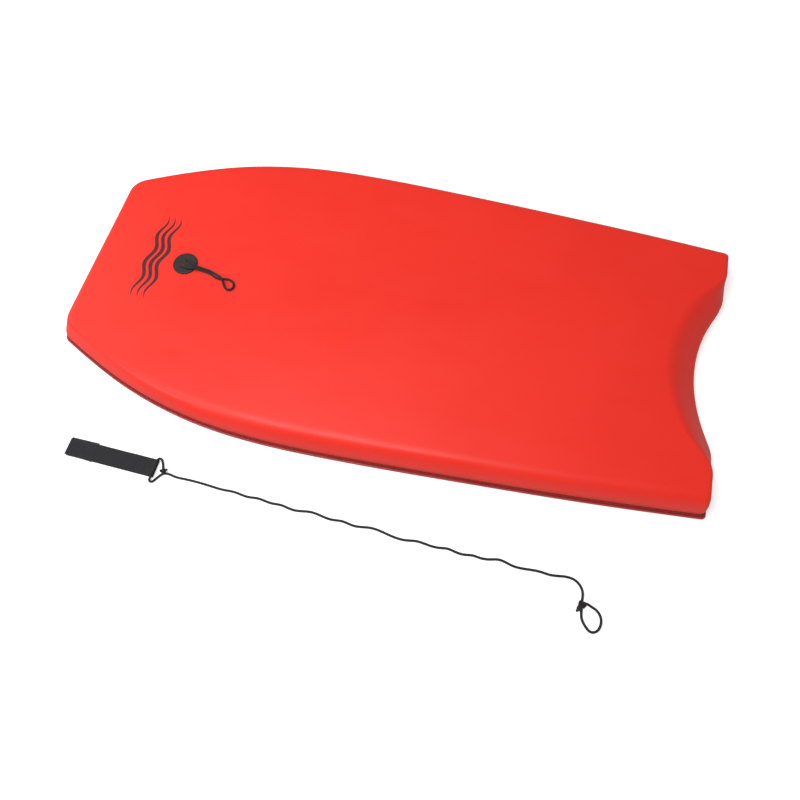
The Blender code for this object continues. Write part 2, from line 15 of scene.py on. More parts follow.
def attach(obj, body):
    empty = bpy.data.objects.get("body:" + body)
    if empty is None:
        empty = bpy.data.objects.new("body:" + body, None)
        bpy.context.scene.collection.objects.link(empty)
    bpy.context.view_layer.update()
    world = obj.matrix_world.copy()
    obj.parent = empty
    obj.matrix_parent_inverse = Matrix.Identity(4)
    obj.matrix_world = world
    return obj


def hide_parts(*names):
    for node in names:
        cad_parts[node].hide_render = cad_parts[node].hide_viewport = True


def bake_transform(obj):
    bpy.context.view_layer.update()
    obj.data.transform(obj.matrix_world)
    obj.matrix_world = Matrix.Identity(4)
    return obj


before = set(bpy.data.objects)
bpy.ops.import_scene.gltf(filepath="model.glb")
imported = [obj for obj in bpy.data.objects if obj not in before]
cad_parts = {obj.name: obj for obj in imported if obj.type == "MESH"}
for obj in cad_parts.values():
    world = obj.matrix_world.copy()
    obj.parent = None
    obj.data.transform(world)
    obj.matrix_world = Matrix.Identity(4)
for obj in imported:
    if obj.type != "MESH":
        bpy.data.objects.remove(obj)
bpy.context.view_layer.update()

MM = 0.001

# Camera
CAMERA_AZIMUTH = math.radians(-19.41)
CAMERA_ELEVATION = math.radians(66.0)
CAMERA_ROLL = math.radians(-5.92)
CAMERA_DISTANCE = 1.0764
CAMERA_TARGET = Vector((0.0506, -0.1386, 0.0))
CAMERA_LENS = 30.89

# Area lights: name, place, target, width and height, watts
LIGHTS = [
    ("overhead_softbox", (-0.48, -0.38, 1.9), (-0.1, 0.0, 0.0), (1.1, 0.9), 36),
    ("left_softbox", (-2.1, 0.6, 1.3), (-0.2, 0.0, 0.0), (1.0, 0.9), 8),
    ("front_softbox", (-1.55, -1.25, 1.30), (-0.2, -0.2, 0.0), (0.24, 0.24), 15),
]
WORLD_STRENGTH = 0.45
FLOOR_GLOW = 0.52
FLOOR_REACH = 6.0
FLOOR_DROP = 0.3 * MM

# Board outline and sections, as in the CAD
LENGTH = 1.040
THICKNESS = 0.050
NOSE_HALF_WIDTH = 0.156
TAIL_HALF_WIDTH = 0.224
RAIL_STATIONS = [(0.12, 0.213), (0.27, 0.253), (0.45, 0.260), (0.65, 0.2505), (0.85, 0.2375)]
NOSE_CORNER = 0.010
CORNER_GROWTH = 0.6
TAIL_CORNER = 0.0065
CORNER_PULL = 0.6
CRESCENT_DEPTH = 0.0355
CRESCENT_HALF_WIDTH = 0.127
CRESCENT_SOFTNESS = 0.16
RIDGE_X = 0.4405
RIDGE_SWEEP = 0.0795
RIDGE_HALF_WIDTH = 0.172
BEVEL_FULL = 0.115
BEVEL_END = 0.190
DECK_SKIN = 0.003
BOTTOM_SKIN = 0.002
CLEARANCE = 0.0003
SEAM_BOTTOM = 0.0068
SEAM_TOP = 0.0120
SEAM_OUTER = 0.0019
SEAM_SLOPE = 0.0029
SEAM_INNER = 0.0082
# Where the weld reaches down into the groove between the bottom skin's rim and the core
WELD_FOOT = [(0.0042, 0.0066), (0.0036, 0.0058)]
DECK_HEIGHTS = [SEAM_TOP + CLEARANCE, 0.0188, 0.0280, 0.0362, 0.0424, 0.0466, 0.0491, THICKNESS]
RAIL_INSETS = [0.0046, 0.0046, 0.0054, 0.0082, 0.0118, 0.0162, 0.0214, 0.0275]
NOSE_INSETS = [0.0046, 0.0046, 0.0080, 0.0114, 0.0140, 0.0160, 0.0182, 0.0220]
TAIL_INSETS = [0.0046, 0.0046, 0.0052, 0.0061, 0.0070, 0.0080, 0.0102, 0.0140]
BEVEL_SECTION = [
    (0.0046, 0.00, SEAM_TOP + CLEARANCE),
    (0.0016, 0.00, 0.0162),
    (0.0018, 0.02, 0.0212),
    (0.0040, 0.17, 0.0285),
    (0.0050, 0.36, 0.0358),
    (0.0050, 0.62, 0.0432),
    (0.0050, 0.86, 0.0482),
    (0.0050, 1.08, THICKNESS),
]
NOSE_SECTION_END = -0.500
RAIL_SECTION_START = -0.300
BOTTOM_SECTION = [(0.0045, 0.0), (0.0012, 0.0009), (0.0, 0.0030), (0.0, 0.0050), (0.0016, 0.0065)]

# Points along each half of a ring round the board
EDGE_POINTS = 30
CORNER_POINTS = 8
RAIL_POINTS = 120
DECK_STEPS = 29
BOTTOM_STEPS = 13

# Cords
CORD = 0.0035
CORD_RADIUS = CORD / 2
BRAID_STEP = 0.00045
KNOT_STEP = 0.0004
BRAID_SIDES = 20
BRAID_YARNS = 8
BRAID_PITCH = 0.0090
# The height of the yarns' crowns and the depth of the gaps between them, as shares of the radius
BRAID_CROWN = 1.06
BRAID_RELIEF = 0.10

# Colours, linear
DECK_RED = (0.628, 0.0175, 0.0080)
DECK_RED_WORN = (0.652, 0.0200, 0.0095)
DECK_RED_DEEP = (0.590, 0.0155, 0.0075)
PRINT_BLACK = (0.045, 0.008, 0.009)
SLICK_RED = (0.300, 0.0180, 0.0170)
SLICK_RED_WORN = (0.330, 0.0260, 0.0240)
SLICK_SCRATCH = (0.42, 0.10, 0.09)
SEAM_DARK = (0.150, 0.013, 0.011)
SEAM_RED = (0.250, 0.022, 0.018)
FOAM_WHITE = (0.86, 0.86, 0.84)
# Painted shade for the gaps between the foam's beads
FOAM_GAP_SHADE = (0.55, 0.55, 0.53)
PLUG_DARK = (0.020, 0.0115, 0.0115)
PLUG_GREY = (0.027, 0.016, 0.016)
CORD_BLACK = (0.016, 0.0135, 0.0145)
CORD_GREY = (0.036, 0.032, 0.034)
# Painted shade for the gaps between a braid's yarns
CORD_GAP_SHADE = (0.004, 0.004, 0.004)
WEBBING_BLACK = (0.0135, 0.0135, 0.0150)
WEBBING_GREY = (0.026, 0.026, 0.028)
# Painted shade for the low places where the webbing's yarns dive under the weft
WEBBING_GAP_SHADE = (0.005, 0.005, 0.006)
HOOK_BLACK = (0.012, 0.012, 0.014)
HOOK_GREY = (0.032, 0.032, 0.035)
LOOP_BLACK = (0.020, 0.020, 0.022)
LOOP_GREY = (0.040, 0.040, 0.043)
THREAD_BLACK = (0.012, 0.012, 0.013)
THREAD_GREY = (0.026, 0.026, 0.028)
FLOOR_DARK = (0.61, 0.61, 0.61)
FLOOR_PALE = (0.63, 0.63, 0.63)
WHITE = (1.0, 1.0, 1.0, 1.0)

# Printed mark near the nose, and the webbing's weave
PRINT_MIDDLE = (-0.402, 0.004)
PRINT_LENGTH = 0.168
PRINT_WAVE = 0.056
PRINT_SWING = 0.0042
PRINT_SPACING = 0.0112
PRINT_LINE = 0.0072
WARP_YARNS = 20
RIB_PITCH = 0.0022
WEAVE_DEPTH = 0.00012


def ease(low, high, value):
    share = min(max((value - low) / (high - low), 0.0), 1.0)
    return share * share * (3 - 2 * share)


def mix(a, b, share):
    return a + (b - a) * share


def arc_lengths(line):
    return np.concatenate([[0.0], np.cumsum(np.linalg.norm(np.diff(line, axis=0), axis=1))])


def even_steps(line, count):
    """The same line, read at count equal steps of its length."""
    lengths = arc_lengths(line)
    steps = np.linspace(0.0, lengths[-1], count)
    return np.column_stack([np.interp(steps, lengths, line[:, i]) for i in range(line.shape[1])])


def smooth_path(route, count):
    """A natural cubic spline through the route's points, read at count equal steps of its length."""
    points = np.array(route, float)
    last = len(points) - 1
    knots = arc_lengths(points)
    spans = np.diff(knots)
    matrix = np.eye(last + 1)
    right = np.zeros_like(points)
    for i in range(1, last):
        matrix[i, i - 1] = spans[i - 1]
        matrix[i, i] = 2 * (spans[i - 1] + spans[i])
        matrix[i, i + 1] = spans[i]
        rise = (points[i + 1] - points[i]) / spans[i]
        run = (points[i] - points[i - 1]) / spans[i - 1]
        right[i] = 6 * (rise - run)
    bends = np.linalg.solve(matrix, right)
    at = np.linspace(0.0, knots[-1], 30 * len(points))
    k = np.clip(np.searchsorted(knots, at, side="right") - 1, 0, last - 1)
    span = spans[k][:, None]
    before = (knots[k + 1] - at)[:, None]
    after = (at - knots[k])[:, None]
    cubic = (bends[k] * before**3 + bends[k + 1] * after**3) / (6 * span)
    start = (points[k] / span - bends[k] * span / 6) * before
    end = (points[k + 1] / span - bends[k + 1] * span / 6) * after
    return even_steps(cubic + start + end, count)


# ---------------- materials


class Graph:
    """Short calls that add nodes to one material. Where finish links the roughness, it has no value."""

    def __init__(self, name, colour, roughness=0.5, specular=0.5, **inputs):
        self.material = bpy.data.materials.new(name)
        self.material.use_nodes = True
        self.tree = self.material.node_tree
        self.shader = self.tree.nodes["Principled BSDF"]
        self.shader.inputs["Base Color"].default_value = (*colour, 1.0)
        self.shader.inputs["Roughness"].default_value = roughness
        self.shader.inputs["Specular IOR Level"].default_value = specular
        for label, value in inputs.items():
            self.shader.inputs[label.replace("_", " ").title()].default_value = value
        self.place = self.tree.nodes.new("ShaderNodeTexCoord").outputs["Object"]

    def node(self, kind, values=(), output=0, **settings):
        """Adds a node. values holds numbers, colours or sockets for its inputs, in order or by key."""
        made = self.tree.nodes.new("ShaderNode" + kind)
        for label, value in settings.items():
            setattr(made, label, value)
        for key, value in values.items() if isinstance(values, dict) else enumerate(values):
            if isinstance(value, bpy.types.NodeSocket):
                self.tree.links.new(value, made.inputs[key])
            elif value is not None:
                made.inputs[key].default_value = value
        return made.outputs[output]

    def math(self, operation, a, b=0.0, c=0.0):
        return self.node("Math", (a, b, c), operation=operation)

    def times(self, a, b):
        return self.math("MULTIPLY", a, b)

    def split(self, vector):
        """The vector's three numbers."""
        made = self.tree.nodes.new("ShaderNodeSeparateXYZ")
        self.tree.links.new(vector, made.inputs[0])
        return made.outputs

    def stretched(self, scale):
        """The place on the object, scaled along each axis."""
        return self.node("VectorMath", (self.place, scale), operation="MULTIPLY")

    def noise(self, scale, detail=2.0, roughness=0.5, place=None):
        values = {"Vector": place or self.place, "Scale": scale, "Detail": detail}
        return self.node("TexNoise", {**values, "Roughness": roughness}, "Fac")

    def cells(self, scale, feature="F1"):
        values = {"Vector": self.place, "Scale": scale}
        return self.node("TexVoronoi", values, "Distance", feature=feature)

    def span(self, value, low, high, to_low=0.0, to_high=1.0, smooth=False):
        """Moves the value from the range low to high to the range to_low to to_high."""
        kind = "SMOOTHSTEP" if smooth else "LINEAR"
        return self.node("MapRange", (value, low, high, to_low, to_high), interpolation_type=kind)

    def blend(self, share, a, b):
        """Colour a where share is 0 and b where it is 1."""
        a, b = (c if isinstance(c, bpy.types.NodeSocket) else (*c, 1.0) for c in (a, b))
        return self.node("Mix", {0: share, 6: a, 7: b}, 2, data_type="RGBA")

    def bump(self, height, strength, distance, under=None):
        values = {"Strength": strength, "Distance": distance, "Height": height, "Normal": under}
        return self.node("Bump", values)

    def finish(self, **links):
        for label, socket in links.items():
            self.tree.links.new(socket, self.shader.inputs[label.replace("_", " ").title()])
        return self.material


def wave_print(graph):
    """1 on the printed mark: three plain wave lines across the nose, tapered at their ends."""
    x, y, z = graph.split(graph.place)
    along = graph.math("SUBTRACT", y, PRINT_MIDDLE[1])
    wave = graph.math("SINE", graph.times(along, 2 * math.pi / PRINT_WAVE))
    centre = graph.math("MULTIPLY_ADD", wave, PRINT_SWING, PRINT_MIDDLE[0])
    across = graph.math("SUBTRACT", x, centre)
    row = graph.math("DIVIDE", across, PRINT_SPACING)
    nearest = graph.times(graph.math("ROUND", row), PRINT_SPACING)
    off_line = graph.math("ABSOLUTE", graph.math("SUBTRACT", across, nearest))
    share = graph.math("DIVIDE", along, PRINT_LENGTH / 2)
    taper = graph.math("SUBTRACT", 1.0, graph.math("POWER", graph.math("ABSOLUTE", share), 3.0))
    half = graph.times(graph.math("MAXIMUM", taper, 0.0), PRINT_LINE / 2)
    inside = graph.math("SUBTRACT", half, off_line)
    ink = graph.span(inside, 0.0, 0.3 * MM, smooth=True)
    rows = graph.math("LESS_THAN", graph.math("ABSOLUTE", row), 1.5)
    deck = graph.math("GREATER_THAN", z, THICKNESS - 2 * MM)
    return graph.times(graph.times(ink, rows), deck)


def deck_material():
    graph = Graph("deck_foam", DECK_RED, specular=0.28)
    broad = graph.noise(5.0, 3.0)
    grain = graph.noise(700.0, 3.0, 0.6)
    pores = graph.cells(1500.0)
    warm = graph.blend(graph.span(broad, 0.35, 0.65), DECK_RED, DECK_RED_WORN)
    mottled = graph.blend(graph.span(grain, 0.3, 0.7, 0.0, 0.35), warm, DECK_RED_DEEP)
    ink = graph.times(wave_print(graph), graph.span(grain, 0.25, 0.55, 0.86, 1.0))
    printed = graph.blend(ink, mottled, PRINT_BLACK)
    fine = graph.bump(pores, 0.10, 0.25 * MM)
    pebble = graph.bump(grain, 0.12, 0.3 * MM, fine)
    dents = graph.bump(graph.noise(45.0, 2.0), 0.05, 1.5 * MM, pebble)
    scuffs = graph.noise(9.0, 4.0, place=graph.stretched((1.0, 3.0, 1.0)))
    rough = graph.span(scuffs, 0.3, 0.7, 0.38, 0.50)
    return graph.finish(Base_color=printed, Roughness=rough, Normal=dents)


def slick_material():
    graph = Graph("slick", SLICK_RED, specular=0.45)
    drag = graph.noise(60.0, 5.0, 0.65, place=graph.stretched((0.12, 3.0, 3.0)))
    broad = graph.noise(7.0, 3.0)
    tone = graph.blend(graph.span(broad, 0.3, 0.7), SLICK_RED, SLICK_RED_WORN)
    scratched = graph.blend(graph.span(drag, 0.60, 0.72, 0.0, 0.35), tone, SLICK_SCRATCH)
    rough = graph.span(drag, 0.3, 0.7, 0.24, 0.42)
    lines = graph.bump(drag, 0.10, 0.2 * MM)
    orange_peel = graph.bump(graph.noise(260.0, 2.0), 0.06, 0.3 * MM, lines)
    return graph.finish(Base_color=scratched, Roughness=rough, Normal=orange_peel)


def seam_material():
    graph = Graph("seam", SEAM_DARK, 0.62, specular=0.1)
    patches = graph.noise(240.0, 4.0, 0.6)
    tone = graph.blend(graph.span(patches, 0.35, 0.7), SEAM_DARK, SEAM_RED)
    weld = graph.bump(graph.noise(500.0, 3.0), 0.5, 0.3 * MM)
    return graph.finish(Base_color=tone, Normal=weld)


def bead_foam_material():
    graph = Graph("bead_foam", FOAM_WHITE, 0.85, specular=0.3)
    beads = graph.cells(260.0)
    gaps = graph.span(graph.cells(260.0, "DISTANCE_TO_EDGE"), 0.0, 0.06)
    # Painted shade: the white goes grey towards the gaps between the beads.
    tone = graph.blend(gaps, FOAM_GAP_SHADE, FOAM_WHITE)
    return graph.finish(Base_color=tone, Normal=graph.bump(beads, -0.6, 1.0 * MM))


def plug_material():
    graph = Graph("plug_plastic", PLUG_DARK, specular=0.22)
    speckle = graph.noise(1800.0, 2.0)
    cloud = graph.noise(90.0, 3.0)
    tone = graph.blend(graph.span(cloud, 0.3, 0.7), PLUG_DARK, PLUG_GREY)
    rough = graph.span(cloud, 0.3, 0.7, 0.50, 0.62)
    return graph.finish(
        Base_color=tone, Roughness=rough, Normal=graph.bump(speckle, 0.25, 0.12 * MM)
    )


def uv_parts(graph):
    """The two coordinates that a cord or strap carries: metres along it, and round or across it."""
    return graph.split(graph.node("UVMap"))[:2]


def cord_material():
    """Braided polyester: two sets of yarns that cross, with painted shade in the gaps between them, and
    fine fibres.
    """
    graph = Graph("cord_braid", CORD_BLACK, 0.78, specular=0.18, sheen_weight=0.08)
    along, turn = uv_parts(graph)
    travel = graph.math("DIVIDE", along, BRAID_PITCH)
    sets = []
    for way in ("ADD", "SUBTRACT"):
        phase = graph.times(graph.math(way, turn, travel), math.pi * BRAID_YARNS)
        sets.append(graph.math("ABSOLUTE", graph.math("COSINE", phase)))
    yarns = graph.math("MAXIMUM", *sets)
    fibres = graph.noise(2600.0, 2.0)
    # Painted shade: the gaps between the yarns are coloured darker than the yarns.
    tone = graph.blend(graph.span(yarns, 0.45, 0.95), CORD_GAP_SHADE, CORD_BLACK)
    worn = graph.blend(graph.span(fibres, 0.4, 0.75, 0.0, 0.5), tone, CORD_GREY)
    weave = graph.bump(yarns, 0.5, 0.12 * MM)
    fluff = graph.bump(fibres, 0.3, 0.08 * MM, weave)
    return graph.finish(Base_color=worn, Normal=fluff)


def webbing_material():
    """Nylon webbing: warp yarns along it that dive under the weft in turn."""
    graph = Graph("webbing", WEBBING_BLACK, specular=0.18, sheen_weight=0.06)
    along, across = uv_parts(graph)
    yarn = graph.times(across, WARP_YARNS / STRAP_WIDTH)
    odd = graph.math("MODULO", graph.math("FLOOR", yarn), 2.0)
    shifted = graph.math("MULTIPLY_ADD", odd, 0.5, graph.math("DIVIDE", along, RIB_PITCH))
    floats = graph.math("ABSOLUTE", graph.math("SINE", graph.times(shifted, math.pi)))
    rounded = graph.math("ABSOLUTE", graph.math("SINE", graph.times(yarn, math.pi)))
    height = graph.times(floats, rounded)
    fibres = graph.noise(3000.0, 2.0, place=graph.stretched((0.3, 2.0, 2.0)))
    # Painted shade: the colour goes darker where the yarns dive low between the floats.
    tone = graph.blend(graph.span(height, 0.1, 0.8), WEBBING_GAP_SHADE, WEBBING_BLACK)
    dusty = graph.blend(graph.span(fibres, 0.45, 0.8, 0.0, 0.5), tone, WEBBING_GREY)
    weave = graph.bump(height, 0.7, 0.18 * MM)
    fine = graph.bump(fibres, 0.2, 0.05 * MM, weave)
    rough = graph.span(height, 0.0, 1.0, 0.75, 0.55)
    return graph.finish(Base_color=dusty, Roughness=rough, Normal=fine)


def tape_material(name, colour, grey, roughness):
    graph = Graph(name, colour, roughness, specular=0.3, sheen_weight=0.3)
    fibres = graph.noise(2200.0, 3.0)
    tone = graph.blend(graph.span(fibres, 0.35, 0.75), colour, grey)
    return graph.finish(Base_color=tone, Normal=graph.bump(fibres, 0.4, 0.1 * MM))


def thread_material():
    graph = Graph("thread", THREAD_BLACK, 0.5, specular=0.5)
    twist = graph.noise(5000.0, 1.0)
    tone = graph.blend(graph.span(twist, 0.3, 0.7), THREAD_BLACK, THREAD_GREY)
    return graph.finish(Base_color=tone, Normal=graph.bump(twist, 0.4, 0.05 * MM))


def floor_material():
    graph = Graph("pale_floor", FLOOR_PALE, 0.9, specular=0.1, emission_strength=FLOOR_GLOW)
    graph.shader.inputs["Emission Color"].default_value = WHITE
    return graph.finish(Base_color=graph.blend(graph.noise(3.0, 2.0), FLOOR_DARK, FLOOR_PALE))


# ---------------- mesh helpers


def add_piece(name, mesh, material):
    made = bpy.data.objects.new(name, mesh)
    bpy.context.scene.collection.objects.link(made)
    made.data.materials.append(material)
    return made


def mesh_from(name, points, faces, smooth=True):
    mesh = bpy.data.meshes.new(name)
    mesh.from_pydata([tuple(p) for p in points], [], faces)
    mesh.update()
    if smooth:
        mesh.shade_smooth()
    return mesh


def ring_faces(count, around, closed=False):
    """The wall's faces over count rings, each of as many points as around."""
    faces = []
    for i in range(count if closed else count - 1):
        for j in range(around):
            k, m = (j + 1) % around, (i + 1) % count
            faces.append((i * around + j, i * around + k, m * around + k, m * around + j))
    return faces


def add_body(points, faces, rings, ends):
    """Adds one thin body: its rings joined into a wall, and a face on each ring that ends names."""
    start, sides = len(points), len(rings[0])
    for around in rings:
        points += around
    faces += [tuple(start + v for v in face) for face in ring_faces(len(rings), sides)]
    faces += [tuple(start + end * sides + v for v in range(sides)) for end in ends]


def angles(sides):
    return [2 * math.pi * k / sides for k in range(sides)]


@contextmanager
def edited(mesh):
    """The mesh as a bmesh, which is written back to it afterwards."""
    bm = bmesh.new()
    bm.from_mesh(mesh)
    yield bm
    bm.to_mesh(mesh)
    bm.free()


def faced_out(mesh):
    with edited(mesh) as bm:
        bmesh.ops.recalc_face_normals(bm, faces=bm.faces)
    return mesh


def cross_directions(path, closed=False):
    """Two directions square to the path at each of its points, carried along it without twist."""
    if closed:
        along = np.roll(path, -1, axis=0) - np.roll(path, 1, axis=0)
    else:
        along = np.gradient(path, axis=0)
    along /= np.linalg.norm(along, axis=1)[:, None]
    side = np.cross(along[0], (0.0, 0.0, 1.0))
    if np.linalg.norm(side) < 0.1:
        side = np.array((1.0, 0.0, 0.0))
    sides = []
    for direction in along:
        side = side - direction * (side @ direction)
        side = side / np.linalg.norm(side)
        sides.append(side)
    sides = np.array(sides)
    return sides, np.cross(along, sides)


def braided_tube(name, path, material, closed=False, step=BRAID_STEP):
    """A cord of braided yarns along path, with melted round ends unless it is closed."""
    if closed:
        path = np.vstack([path, path[:1]])
    length = arc_lengths(path)[-1]
    rings = max(8, round(length / step))
    path = even_steps(path, rings + 1)
    travel = np.linspace(0.0, length, rings + 1)
    if closed:
        path, travel = path[:-1], travel[:-1]
    side, up = cross_directions(path, closed)
    turn = np.arange(BRAID_SIDES) / BRAID_SIDES
    phase = travel[:, None] / BRAID_PITCH
    one = np.abs(np.cos(math.pi * BRAID_YARNS / 2 * (turn + phase)))
    other = np.abs(np.cos(math.pi * BRAID_YARNS / 2 * (turn - phase)))
    radii = CORD_RADIUS * (BRAID_CROWN - BRAID_RELIEF + BRAID_RELIEF * np.maximum(one, other))
    if not closed:
        from_end = np.minimum(travel, length - travel) / CORD_RADIUS
        radii *= np.sqrt(1 - (1 - np.clip(from_end, 0.03, 1.0)) ** 2)[:, None]
    angle = 2 * math.pi * turn
    spokes = side[:, None] * np.cos(angle)[None, :, None] + up[:, None] * np.sin(angle)[None, :, None]
    points = (path[:, None] + spokes * radii[:, :, None]).reshape(-1, 3)
    faces = ring_faces(len(path), BRAID_SIDES, closed)
    uvs = [
        (travel[i] + ahead * length / rings, (j + beside) / BRAID_SIDES)
        for i in range(len(faces) // BRAID_SIDES)
        for j in range(BRAID_SIDES)
        for ahead, beside in ((0, 0), (0, 1), (1, 1), (1, 0))
    ]
    if not closed:
        last = len(points) - BRAID_SIDES
        faces += [tuple(range(BRAID_SIDES))[::-1], tuple(range(last, len(points)))]
        uvs += [(0.0, 0.5)] * BRAID_SIDES + [(length, 0.5)] * BRAID_SIDES
    mesh = mesh_from(name, points, faces)
    mesh.uv_layers.new(name="UVMap").data.foreach_set("uv", np.array(uvs).ravel())
    return add_piece(name, mesh, material)


def join(pieces, name):
    """Several pieces of one thing as one mesh."""
    bpy.context.view_layer.update()
    with bpy.context.temp_override(active_object=pieces[0], selected_editable_objects=pieces):
        bpy.ops.object.join()
    pieces[0].name = name
    return pieces[0]


def tied_knot(name, place, axes, turn, tail, material):
    """A drawn-up knot: three crossing turns of cord, and the cord's melted tail end."""
    t = np.linspace(0.0, 2 * math.pi, 160, endpoint=False)
    loops = np.column_stack([
        (np.sin(t) + 2 * np.sin(2 * t)) / 3 * (axes[0] - CORD_RADIUS),
        (np.cos(t) - 2 * np.cos(2 * t)) / 3 * (axes[1] - CORD_RADIUS),
        -np.sin(3 * t) * (axes[2] - CORD_RADIUS),
    ])
    c, s = math.cos(turn), math.sin(turn)
    loops = loops @ np.array([(c, s, 0.0), (-s, c, 0.0), (0.0, 0.0, 1.0)]) + np.array(place)
    turns = braided_tube(name + "_turns", loops, material, closed=True, step=KNOT_STEP)
    end = braided_tube(name + "_tail", smooth_path([place, *tail], 24), material)
    return join([turns, end], name)


def cut(piece, cutter):
    """Takes the cutter out of the piece, and removes the cutter."""
    hole = piece.modifiers.new("hole", "BOOLEAN")
    hole.operation = "DIFFERENCE"
    hole.solver = "EXACT"
    hole.object = cutter
    apply_modifiers(piece)
    bpy.data.objects.remove(cutter)


def apply_modifiers(piece):
    bpy.context.view_layer.update()
    seen = piece.evaluated_get(bpy.context.evaluated_depsgraph_get())
    mesh = bpy.data.meshes.new_from_object(seen)
    piece.modifiers.clear()
    piece.data = mesh


def turned(name, profile, place, material, steps=96):
    """A round piece: the profile runs from its axis at the top, down its outer side and back."""
    turn = np.arange(steps) * 2 * math.pi / steps
    points, rows = [], []
    for r, z in profile:
        if r < 1e-6:
            rows.append([len(points)] * steps)
            points.append((place.x, place.y, z))
        else:
            rows.append(list(range(len(points), len(points) + steps)))
            points += [(place.x + r * math.cos(a), place.y + r * math.sin(a), z) for a in turn]
    faces = []
    for upper, lower in zip(rows, rows[1:]):
        for i in range(steps):
            k = (i + 1) % steps
            corners = [upper[i], lower[i], lower[k], upper[k]]
            faces.append(tuple(dict.fromkeys(corners)))
    piece = add_piece(name, mesh_from(name, points, faces), material)
    piece.data.set_sharp_from_angle(angle=math.radians(50))
    return piece


# ---------------- camera, light and floor


def make_camera():
    level = Vector((math.sin(CAMERA_AZIMUTH), math.cos(CAMERA_AZIMUTH), 0.0))
    ahead = level * math.cos(CAMERA_ELEVATION) - Vector((0.0, 0.0, math.sin(CAMERA_ELEVATION)))
    right = ahead.cross(Vector((0.0, 0.0, 1.0))).normalized()
    upright = Matrix((right, right.cross(ahead), -ahead)).transposed()
    roll = Matrix.Rotation(CAMERA_ROLL, 3, "Z")
    camera = bpy.data.cameras.new("camera")
    camera.lens = CAMERA_LENS
    made = bpy.data.objects.new("camera", camera)
    made.matrix_world = Matrix.LocRotScale(
        CAMERA_TARGET - ahead * CAMERA_DISTANCE, (upright @ roll).to_quaternion(), None
    )
    bpy.context.scene.collection.objects.link(made)
    bpy.context.scene.camera = made


def make_light(name, place, target, size, power):
    light = bpy.data.lights.new(name, "AREA")
    light.shape = "RECTANGLE"
    light.size, light.size_y = size
    light.energy = power
    made = bpy.data.objects.new(name, light)
    made.location = place
    made.rotation_euler = (Vector(target) - Vector(place)).to_track_quat("-Z", "Y").to_euler()
    bpy.context.scene.collection.objects.link(made)


def make_studio():
    for light in LIGHTS:
        make_light(*light)
    world = bpy.data.worlds.new("studio")
    world.use_nodes = True
    background = world.node_tree.nodes["Background"]
    background.inputs["Color"].default_value = WHITE
    background.inputs["Strength"].default_value = WORLD_STRENGTH
    bpy.context.scene.world = world
    bpy.context.scene.view_settings.view_transform = "Standard"

    corners = [(-1, -1), (1, -1), (1, 1), (-1, 1)]
    points = [(x * FLOOR_REACH, y * FLOOR_REACH, -FLOOR_DROP) for x, y in corners]
    floor = add_piece("floor", mesh_from("floor", points, [(0, 1, 2, 3)]), floor_material())
    floor.visible_glossy = False


# ---------------- cords

STRAP_PLACE = Vector((-0.286, -0.3340, 0.0))
STRAP_TURN = math.radians(-1.1)
PLUG = Vector((-0.3485, 0.0, 0.0))
HOLE_LINE = Vector((0.28, 0.96, 0.0)).normalized()
HOLE_OFFSET = 0.0070
DISC_TOP = 0.0523
DECK_CORD_Z = THICKNESS + CLEARANCE + CORD_RADIUS
DISC_CORD_Z = DISC_TOP + 2 * CLEARANCE + CORD_RADIUS
FLOOR_CORD_Z = CORD_RADIUS + 0.0001

LOOP_ROUTE = [
    (-0.3388, 0.0026, DISC_CORD_Z), (-0.3300, -0.0014, DISC_CORD_Z),
    (-0.3225, -0.0028, DECK_CORD_Z + 0.0009), (-0.3115, -0.0040, DECK_CORD_Z),
    (-0.2993, -0.0064, DECK_CORD_Z), (-0.2885, -0.0108, DECK_CORD_Z + 0.0014),
    (-0.2784, -0.0164, DECK_CORD_Z + 0.0042), (-0.2716, -0.0246, DECK_CORD_Z + 0.0014),
    (-0.2672, -0.0305, DECK_CORD_Z), (-0.2616, -0.0334, DECK_CORD_Z),
    (-0.2562, -0.0314, DECK_CORD_Z), (-0.2541, -0.0254, DECK_CORD_Z),
    (-0.2566, -0.0194, DECK_CORD_Z), (-0.2618, -0.0158, DECK_CORD_Z),
    (-0.2697, -0.0146, DECK_CORD_Z), (-0.2784, -0.0161, DECK_CORD_Z),
    (-0.2886, -0.0156, DECK_CORD_Z), (-0.2986, -0.0112, DECK_CORD_Z),
    (-0.3112, -0.0083, DECK_CORD_Z), (-0.3222, -0.0073, DECK_CORD_Z + 0.0009),
    (-0.3296, -0.0076, DISC_CORD_Z), (-0.3390, -0.0092, DISC_CORD_Z),
]
BAIL_ROUTE = [
    (0.0125, 0.0044, 0.0022), (0.0100, 0.0095, 0.0021), (0.0078, 0.0132, 0.0024),
    (0.0048, 0.0164, 0.0029), (0.0018, 0.0166, 0.0034), (0.0001, 0.0138, 0.0035),
    (0.0000, 0.0110, 0.0035), (0.0000, 0.0000, 0.0035), (0.0000, -0.0110, 0.0035),
    (-0.0002, -0.0140, 0.0035), (-0.0006, -0.0176, 0.0032), (0.0010, -0.0205, 0.0027),
    (0.0042, -0.0202, 0.0023), (0.0074, -0.0162, 0.0021), (0.0102, -0.0116, 0.0020),
    (0.0126, -0.0076, 0.0020),
]
BAIL_INTO_KNOT = (0.0138, 0.0019, 0.0026)
BAIL_TO_LINE = [(0.0124, -0.0082, 0.0020), (0.0160, -0.0046, 0.0020)]
